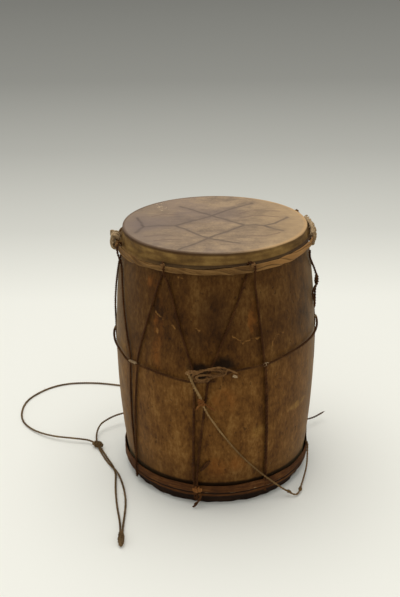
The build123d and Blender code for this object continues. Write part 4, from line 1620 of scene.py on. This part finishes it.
@dataclass
class Waist:
    """The cord round the waist, and its spare length in a hank at the front."""

    finishes: Finishes
    rope: Rope = Rope(radius=1.25, pitch=5.6)
    course: tuple[tuple[float, float, bool], ...] = (
        (3, 159, False), (12, 162.6, False), (23.8, 163.3, True), (28.6, 164, True),
        (35, 165.6, False), (45, 167.2, False), (57, 167.8, False), (69, 167.4, False),
        (80.5, 166.8, False), (91.6, 166, True), (96.4, 165.4, True), (108, 163, False),
        (120, 160.4, False), (132, 158.6, False), (142.4, 157.2, True), (147.6, 156.8, True),
        (160, 155.8, False), (173, 155.1, False), (186, 154.6, False), (197.4, 154.4, True),
        (202.6, 154.6, True), (215, 154.4, False), (228, 154.2, False), (240, 153.7, False),
        (251, 153.2, False), (261.2, 153, True), (266.4, 153, True), (275, 153.8, False),
        (285, 154.4, False), (296, 153.4, False), (304.6, 151, True), (312.4, 152.8, True),
        (321, 153.2, False), (330, 152, False), (339, 149.8, False), (347, 149.4, True),
        (355.6, 151, True), (359, 152, True),
    )
    hank: Route = (
        (10, -112.5, 165), (1, -115.5, 161.5), (-12, -117, 157), (-22, -117, 157.5),
        (-25.5, -117, 162), (-20, -117.5, 166.8), (-10, -118, 169), (0, -118, 168.4),
        (6.6, -117.5, 167), (8.4, -117, 164.4), (4.4, -118.5, 162.4), (-4, -119.5, 163.2),
        (-13, -120, 164.6), (-21, -120, 163.4), (-20, -120.5, 159.4), (-13, -120.3, 158.6),
        (-9.4, -120, 161.8), (-8.4, -119, 157.6), (-15, -118, 155.6), (-23, -116.4, 156.2),
    )
    pairs: Route = (
        (-96.2, 153.0, 6.4), (-51.4, 152.4, 14.0), (26.2, 163.8, 6.8), (94.0, 165.7, 6.4),
        (145.0, 157.0, 6.4), (200.0, 154.5, 6.4),
    )
    free_end: Route = (
        (-25.4, -118.5, 162), (-21.4, -120, 165.6), (-15, -121, 168.8), (-7, -121.5, 172),
        (2.4, -121.5, 173.4), (10.2, -121, 170.6), (19, -120.5, 166),
    )

    def build(self) -> None:
        """The cord, the hank with the knot at its left, and the pale free end laid over it."""
        route = np.array([
            polar(angle, float(SIZES.on_shell(height)) + SIZES.cord + SIZES.crossing_gap, height)
            if over
            else polar(angle, SIZES.belly_radius + SIZES.waist_gap + SIZES.cord / 2, height)
            for angle, height, over in self.course
        ])
        path = spline_points(route, 26)
        cord = make_piece("waist_binding", self.rope.patches(path, 400) + fibres(path, 60, 401, 5.0))
        hank_path = spline_points(np.array(self.hank, dtype=float), 18)
        hank = self.rope.patches(hank_path, 402) + fibres(hank_path, 40, 403, 6.0)
        hank += knot_patches(np.array([-24.4, -119.2, 166.2]), (1.0, 0.0, 0.04), 14.0, 2.5, 3.0, 1.0, 4)
        loops = make_piece("waist_hank_loops", hank)
        end_path = spline_points(np.array(self.free_end, dtype=float), 22)
        pale = Rope(radius=1.0, pitch=11.0)
        end = make_piece("waist_free_end", pale.patches(end_path, 404) + fibres(end_path, 20, 405, 5.0))
        wraps = []
        for angle, height, wide in self.pairs:
            middle = polar(angle, float(SIZES.on_shell(height)) + 1.3, height)
            across = polar(angle + 90, 1.0, 0.1)
            wraps += knot_patches(middle, across, wide, 1.8, wide / 3.2, 0.8, int(height))
        tip = np.array(self.free_end[-1]) + np.array([(-4.2, 0, -2.6), (-2.0, -0.3, -3.4), (-0.2, 0.2, -4.0)])
        wraps += Rope(radius=1.5, plies=3, pitch=9.0, sides=7, lump=0.25).patches(spline_points(tip, 12), 406)
        ties = make_piece("waist_pair_ties", wraps)
        dress(ties, self.finishes.bast, Slot.WAIST, body=Body.WAIST)
        dress(cord, self.finishes.waist, Slot.WAIST, "waist_cord", body=Body.WAIST)
        dress(loops, self.finishes.spare, Slot.WAIST, "waist_hank", body=Body.WAIST)
        dress(end, self.finishes.spare, Slot.WAIST, "waist_hank", body=Body.WAIST)


@dataclass
class TieCord:
    """The pale cord that goes from the hank down to the lower hoop, with its knots."""

    finishes: Finishes
    rope: Rope = Rope(radius=1.05, pitch=7.0)
    upper_rope: Rope = Rope(radius=1.35, pitch=7.5, sides=9)

    def build(self) -> None:
        """The upper run, the wrapped knot, the long run with its two knots, and the knot on the hoop."""
        upper_route = np.array([
            (-29.0, -119.0, 166.4), (-27.0, -119.0, 162.0), (-24.4, -118.0, 154.5),
            (-21.4, -114.4, 144.8), over_shell(-9.0, 6.4, 136.0), over_shell(-8.1, 5.7, 131.0),
        ])
        upper_path = spline_points(upper_route, 20)
        patches = self.upper_rope.patches(upper_path, 500) + fibres(upper_path, 6, 501, 4.0)
        upper = make_piece("tie_upper_run", patches)
        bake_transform(upper)
        dress(upper, self.finishes.tie, Slot.TIE, "tie_cord_upper", body=None)
        middle = over_shell(-8.2, 6.2, 129.4)
        wound = knot_patches(middle, (0.6, -0.05, -1.0), 8.4, 3.5, 3.0, 1.05, 2)
        wrap = make_piece("tie_wrapping", wound)
        dress(wrap, self.finishes.rust, Slot.TIE, "tie_wrap_knot")
        self._wrap_ends()
        self._long_run()
        self._front_knot()

    def _wrap_ends(self) -> None:
        """Two short reddish ends below the wrapped knot."""
        right = np.array([
            over_shell(-7.0, 5.0, 127.0), over_shell(-4.2, 3.8, 123.0),
            over_shell(-1.2, 1.7, 117.0),
        ])
        left = np.array([
            over_shell(-8.4, 4.8, 127.0), over_shell(-10.2, 3.4, 122.5),
            over_shell(-11.6, 1.5, 117.0),
        ])
        end = Rope(radius=1.15, pitch=9.0, sides=7, taper_end=3.0)
        patches = end.patches(spline_points(right, 20), 505) + end.patches(spline_points(left, 20), 506)
        piece = make_piece("tie_wrap_ends", patches)
        dress(piece, self.finishes.rust, Slot.TIE)

    def _long_run(self) -> None:
        """The run over the shell and the hoop to the floor, back up at the side and behind the hoop."""
        front, back, high = LOWER.cord_front, LOWER.cord_back, LOWER.cord_high
        route = np.array([
            over_shell(-7.2, 4.9, 124.6), over_shell(-6.0, 4.2, 117.4),
            over_shell(-3.0, 2.3, 106.6), over_shell(1.0, 1.65, 93.6), over_shell(6.2, 1.65, 79.0),
            over_shell(11.9, 1.65, 64.0), over_shell(17.8, 1.65, 50.2),
            over_shell(23.6, 2.6, 38.0), polar(27.8, 105.6, 29.8), polar(30.8, 106.6, 24.2),
            polar(33.8, 107.8, 18.4), polar(37.0, 110.2, 12.2), polar(39.2, 113.2, 8.3),
            (75.2, -87.8, 6.2), (77.6, -88.6, 5.0), (81.0, -89.4, 3.3), (85.0, -87.6, 2.8),
            (87.2, -83.0, 3.2), (88.2, -80.2, 3.6), (88.8, -78.2, 4.0), (89.8, -75.0, 4.4),
            (93.6, -62.6, 6.2), (97.4, -50.2, 9.0), (99.8, -38.4, 12.6),
            polar(74.6, front + 0.5, 17.0), polar(77.4, front, high), polar(79.6, back, high),
            polar(81.0, back, high - 5.0),
        ])
        path = spline_points(route, 16)
        run = make_piece("tie_cord_run", self.rope.patches(path, 510))
        strays = stray_fibres("tie_cord_strays", path, 30, 511, 5.0, self.finishes.tie, Slot.TIE)
        first = knot_patches(np.array([75.2, -87.8, 6.2]), (0.86, -0.24, -0.45), 6.0, 2.2, 2.0, 0.8, 3)
        second = knot_patches(np.array([88.5, -79.2, 3.9]), (0.3, 0.93, 0.18), 6.0, 2.2, 2.0, 0.8, 5)
        knots = make_piece("tie_cord_knots", first + second)
        dress(run, self.finishes.tie, Slot.TIE, "tie_cord", "tie_cord_bend", "tie_cord_return")
        dress(knots, self.finishes.tie, Slot.TIE, "tie_knot_front", "tie_knot_side")

    def _front_knot(self) -> None:
        """The knot on the lower hoop at the front, with its frayed end."""
        radius = LOWER.cord_front + 4.0
        middle = polar(-11.4, radius - 0.6, 22.2)
        across = polar(79.6, 1.0, 0.0)
        tail_route = np.array([
            polar(-10.0, radius, 18.5), polar(-9.3, radius + 0.6, 13.6),
            polar(-11.2, radius + 1.0, 8.0), polar(-13.4, radius + 2.4, 2.2),
        ])
        tail_path = spline_points(tail_route, 16)
        tail = Rope(radius=1.6, pitch=11.0, lump=0.2)
        knot = make_piece("front_knot_wound", knot_patches(middle, across, 10.0, 3.6, 2.6, 1.15, 6))
        end = make_piece("front_knot_end", tail.patches(tail_path, 520) + fibres(tail_path, 30, 521, 3.5))
        dress(knot, self.finishes.rust, Slot.TIE, "front_knot")
        dress(end, self.finishes.lace, Slot.TIE, "front_tail")


@dataclass
class LooseEnds:
    """The hanging end of the broken lace and the stiff end that stands out behind."""

    finishes: Finishes

    def build(self) -> None:
        """Both ends, each a free cord."""
        route = np.array([
            polar(70.6, 100.8, UPPER.cord_low - 1.35), over_shell(71.2, 2.1, 252.0),
            over_shell(74.6, 1.9, 244.0), (100.9, -16.5, 235.0), (103.9, -16.0, 227.4),
            (105.4, -16.0, 220.2), (104.9, -16.0, 214.1), (103.8, -16.0, 209.2),
            over_shell(79.4, 1.8, 204.3), over_shell(77.0, 1.8, 198.0),
            over_shell(75.2, 1.8, 192.0),
        ])
        path = spline_points(route, 18)
        rope = Rope(radius=1.25, pitch=6.0, taper_end=3.0)
        cord = make_piece("broken_lace_cord", rope.patches(path, 600))
        strays = stray_fibres("broken_lace_strays", path, 30, 601, 5.0, self.finishes.lace, Slot.LACE)
        curl = np.array([
            (104.2, -17.6, 213.0), over_shell(75.4, 2.4, 214.4), over_shell(72.6, 1.6, 211.6),
            over_shell(72.8, 1.5, 206.6), over_shell(74.4, 1.6, 201.0),
            over_shell(75.6, 2.6, 197.4),
        ])
        wound = knot_patches(np.array([105.2, -16.0, 219.6]), (0.05, 0.0, -1.0), 13.0, 2.5, 4.0, 0.95, 7)
        wound += rope.patches(spline_points(curl, 18), 602)
        knot = make_piece("broken_lace_hitch", wound)
        dress(cord, self.finishes.lace, Slot.LACE, "broken_lace", "broken_lace_end")
        dress(knot, self.finishes.waist, Slot.LACE, "broken_lace_knot")
        self._rear()

    def _rear(self) -> None:
        """The stiff end behind the drum at the right."""
        route = np.array([
            polar(117.0, LOWER.roll_outer + 0.3, 13.4), (102.0, 51.2, 11.2), (111.6, 55.8, 8.9),
            (121.4, 62.6, 8.6), (131.6, 71.4, 9.9),
        ])
        path = spline_points(route, 22)
        rope = Rope(radius=1.05, pitch=7.0, taper_end=3.0)
        piece = make_piece("rear_tail_cord", rope.patches(path, 610))
        strays = stray_fibres("rear_tail_strays", path, 10, 611, 4.0, self.finishes.lace, Slot.LACE)
        dress(piece, self.finishes.lace, Slot.LACE, "rear_tail")


@dataclass
class CarryCord:
    """The doubled carrying cord that lies on the floor at the left, hitched to the lower hoop."""

    finishes: Finishes
    rope: Rope = Rope(radius=1.2, pitch=5.0)
    outer: Route = (
        (-68, 88.6, 12), (-66, 98, 9.5), (-67.5, 112, 5.5), (-73, 128, 2.4), (-84, 142.5, 1.4),
        (-100, 151.6, 1.2), (-119, 158, 1.2), (-137.5, 162.8, 1.2), (-153.6, 165.6, 1.2),
        (-169.5, 166, 1.2), (-185.2, 164.8, 1.2), (-200.4, 159.6, 1.2), (-214, 150, 1.2),
        (-225, 137, 1.2), (-232.6, 124.4, 1.2), (-236, 110.4, 1.2), (-236.4, 95.4, 1.2),
        (-234.4, 80.2, 1.2), (-228, 64.6, 1.4), (-215.4, 49.4, 2.2), (-201.2, 38.4, 3.4),
        (-186.1, 30.6, 4.6), (-168.6, 26, 5.2), (-154.2, 23.4, 5), (-145.6, 21.2, 4.6),
        (-139.6, 16.4, 4.2), (-135.7, 12.8, 4), (-132.6, 8.4, 3.2), (-129, 2.6, 1.8),
        (-124, -9, 1.2), (-118.2, -21, 1.2), (-113.6, -32, 1.2), (-111, -44, 1.2),
        (-110.4, -56, 1.2), (-109.2, -74, 1.2), (-107, -93, 1.2), (-104.4, -110, 1.2),
        (-101.4, -126, 1.2), (-99.6, -139, 1.8), (-98.9, -149.4, 3), (-98.3, -160.4, 3),
    )
    inner: Route = (
        (-77.3, 79.6, 13), (-87, 76.2, 14), (-97, 71.8, 14.4), (-107.4, 67.2, 14),
        (-117.2, 62.5, 13.6), (-124.4, 58, 12.6), (-131.4, 52.5, 11), (-135.6, 48, 9.4),
        (-138.4, 38.4, 7), (-138.7, 28.3, 5), (-137.5, 19.3, 4.1), (-136.2, 12.8, 3.9),
        (-134.2, 8, 3), (-131.4, 1.6, 1.8), (-126.8, -9.4, 1.2), (-121.2, -21.4, 1.4),
        (-116, -31.4, 2.8), (-111.6, -40, 4.4), (-107.2, -49, 4.4), (-103.4, -59.4, 2.6),
        (-99.7, -74.6, 1.2), (-97, -93.4, 1.2), (-96.5, -110, 1.2), (-96.8, -126, 1.2),
        (-97, -139.4, 1.8), (-96.7, -149.4, 3), (-96.5, -160.4, 3),
    )

    def build(self) -> None:
        """The hitch, the two strands and their knots."""
        wound = knot_patches(np.array([-135.8, 12.8, 4.3]), (0.92, -0.4, 0), 12.5, 4.1, 3.0, 1.25, 8)
        knot = make_piece("carry_knot_wound", wound)
        bound = knot_patches(np.array([-97.4, -160.6, 3.6]), (0.05, -1.0, 0.0), 21.0, 3.6, 6.0, 1.15, 9)
        binding = make_piece("carry_end_binding", bound)
        self._hitch()
        self._strand("carry_cord_a", self.outer, 700, [knot, binding], "carry_cord_outer", "carry_tail_left")
        self._strand("carry_cord_b", self.inner, 710, [], "carry_cord_inner", "carry_tail_right")
        for piece, node in ((knot, "carry_knot"), (binding, "carry_end_knot")):
            dress(piece, self.finishes.carry, Slot.CARRY, node)

    def _strand(self, name: str, points: Sequence[Any], seed: int, on_it: Sequence[Any], *nodes: str) -> None:
        """One loose strand from the hitch to the end knot.

        Args:
            name: the piece's name.
            points: its route.
            seed: picks its lumps.
            on_it: pieces that sit on it.
            nodes: the solids that it stands for.
        """
        path = spline_points(np.array(points, dtype=float), 24)
        piece = make_piece(name, self.rope.patches(path, seed))
        dress(piece, self.finishes.carry, Slot.CARRY, *nodes)
        strays = stray_fibres(f"{name}_strays", path, 70, seed + 1, 5.0, self.finishes.carry, Slot.CARRY)

    def _hitch(self) -> None:
        """The hitch round the lower hoop and its knot."""
        front, back, high, low = LOWER.cord_front, LOWER.cord_back, LOWER.cord_high, LOWER.cord_low
        route = np.array([
            polar(-141.0, front, 13.0), polar(-140.5, front, high), polar(-139.6, back, high),
            polar(-139.0, back, low), polar(-138.4, front, low), polar(-138.0, front, 13.0),
        ])
        path = spline_points(route, 16)
        middle = polar(-139.0, front + 4.35, 13.0)
        across = polar(-49.0, 1.0, 0.0)
        hitch = make_piece("carry_hitch_turn", self.rope.patches(path, 720))
        knot = make_piece("carry_hitch_wound", knot_patches(middle, across, 11.5, 3.2, 3.0, 1.1, 10))
        for piece, node in ((hitch, "carry_hitch"), (knot, "carry_hitch_knot")):
            dress(piece, self.finishes.carry, Slot.CARRY, node)


# Stage


@dataclass(frozen=True)
class FloorFinish:
    """A pale floor whose colour greys with distance: painted falloff of the light."""

    start: float = -0.6
    stops: tuple[tuple[float, float], ...] = (
        (-0.5, 0.89), (0.0, 0.87), (0.43, 0.82), (0.74, 0.63), (1.28, 0.47), (2.07, 0.346),
        (3.9, 0.272),
    )
    warmth: Colour = (1.0, 1.0, 0.93)

    def make(self) -> bpy.types.Material:
        """The material, on object places: the ramp runs away from the camera."""
        graph = Graph("pale_floor")
        _, y, _ = graph.axes(graph.place())
        span = self.stops[-1][0] - self.start
        greys = [
            ((place - self.start) / span, tuple(grey * part for part in self.warmth))
            for place, grey in self.stops
        ]
        colour = graph.ramp((y - self.start) * (1 / span), greys)
        return graph.finish(colour, 0.9, Specular_IOR_Level=0.0)


@dataclass
class Stage:
    """Camera, floor and light."""

    eye: tuple[float, float, float] = (-0.0161, -0.9723, 0.6231)
    tilt: float = 66.09
    lens: float = 60.3
    roll: float = -0.7
    sky: float = 0.72
    sky_colour: Colour = (1.0, 0.995, 0.97)
    lamp_watts: float = 13.0
    lamp_size: float = 1.5
    lamp_colour: Colour = (1.0, 0.985, 0.95)
    lamp_place: tuple[float, float, float] = (-0.07, 0.25, 1.7)
    lamp_turn: tuple[float, float, float] = (-8.0, -6.0, 0.0)
    floor_sides: tuple[float, float] = (-20000.0, 20000.0)
    floor_ends: tuple[float, float] = (-20000.0, 40000.0)
    floor_level: float = -0.05

    def build(self) -> None:
        """Place the camera, the floor and the lights."""
        scene = bpy.context.scene
        view = bpy.data.cameras.new("view")
        view.lens = self.lens
        view.sensor_width = 36.0
        camera = bpy.data.objects.new("view", view)
        camera.location = self.eye
        camera.rotation_mode = "ZYX"
        camera.rotation_euler = (math.radians(self.tilt), 0.0, math.radians(self.roll))
        scene.collection.objects.link(camera)
        scene.camera = camera
        scene.view_settings.view_transform = "Standard"
        floor = self._floor()
        lamp = bpy.data.lights.new("soft_lamp", "AREA")
        lamp.shape = "DISK"
        lamp.size = self.lamp_size
        lamp.energy = self.lamp_watts
        lamp.color = self.lamp_colour
        holder = bpy.data.objects.new("soft_lamp", lamp)
        holder.location = self.lamp_place
        holder.rotation_euler = tuple(math.radians(angle) for angle in self.lamp_turn)
        scene.collection.objects.link(holder)
        world = bpy.data.worlds.new("soft_sky")
        world.use_nodes = True
        back = world.node_tree.nodes["Background"]
        back.inputs["Color"].default_value = (*self.sky_colour, 1.0)
        back.inputs["Strength"].default_value = self.sky
        scene.world = world

    def _floor(self) -> bpy.types.Object:
        """A large flat floor at the drum's foot."""
        x, y = np.meshgrid(self.floor_sides, self.floor_ends, indexing="xy")
        points = np.stack([x, y, np.full_like(x, self.floor_level)], axis=-1)
        floor = make_piece("floor", [Patch(points, wrap_cols=False)])
        floor.data.materials.append(FloorFinish().make())
        return floor


def main() -> None:
    """Build the stage, the finishes and every sub-assembly on the frame."""
    logging.basicConfig(level=logging.INFO, format="%(name)s %(message)s")
    Stage().build()
    finishes = Finishes()
    cords = (CarryCord, TieCord, LooseEnds, Lacing, Waist, Lashings)
    for assembly in (*cords, FleshHoops, UpperHead, LowerHead, Shell):
        assembly(finishes).build()


if __name__ == "__main__":
    main()
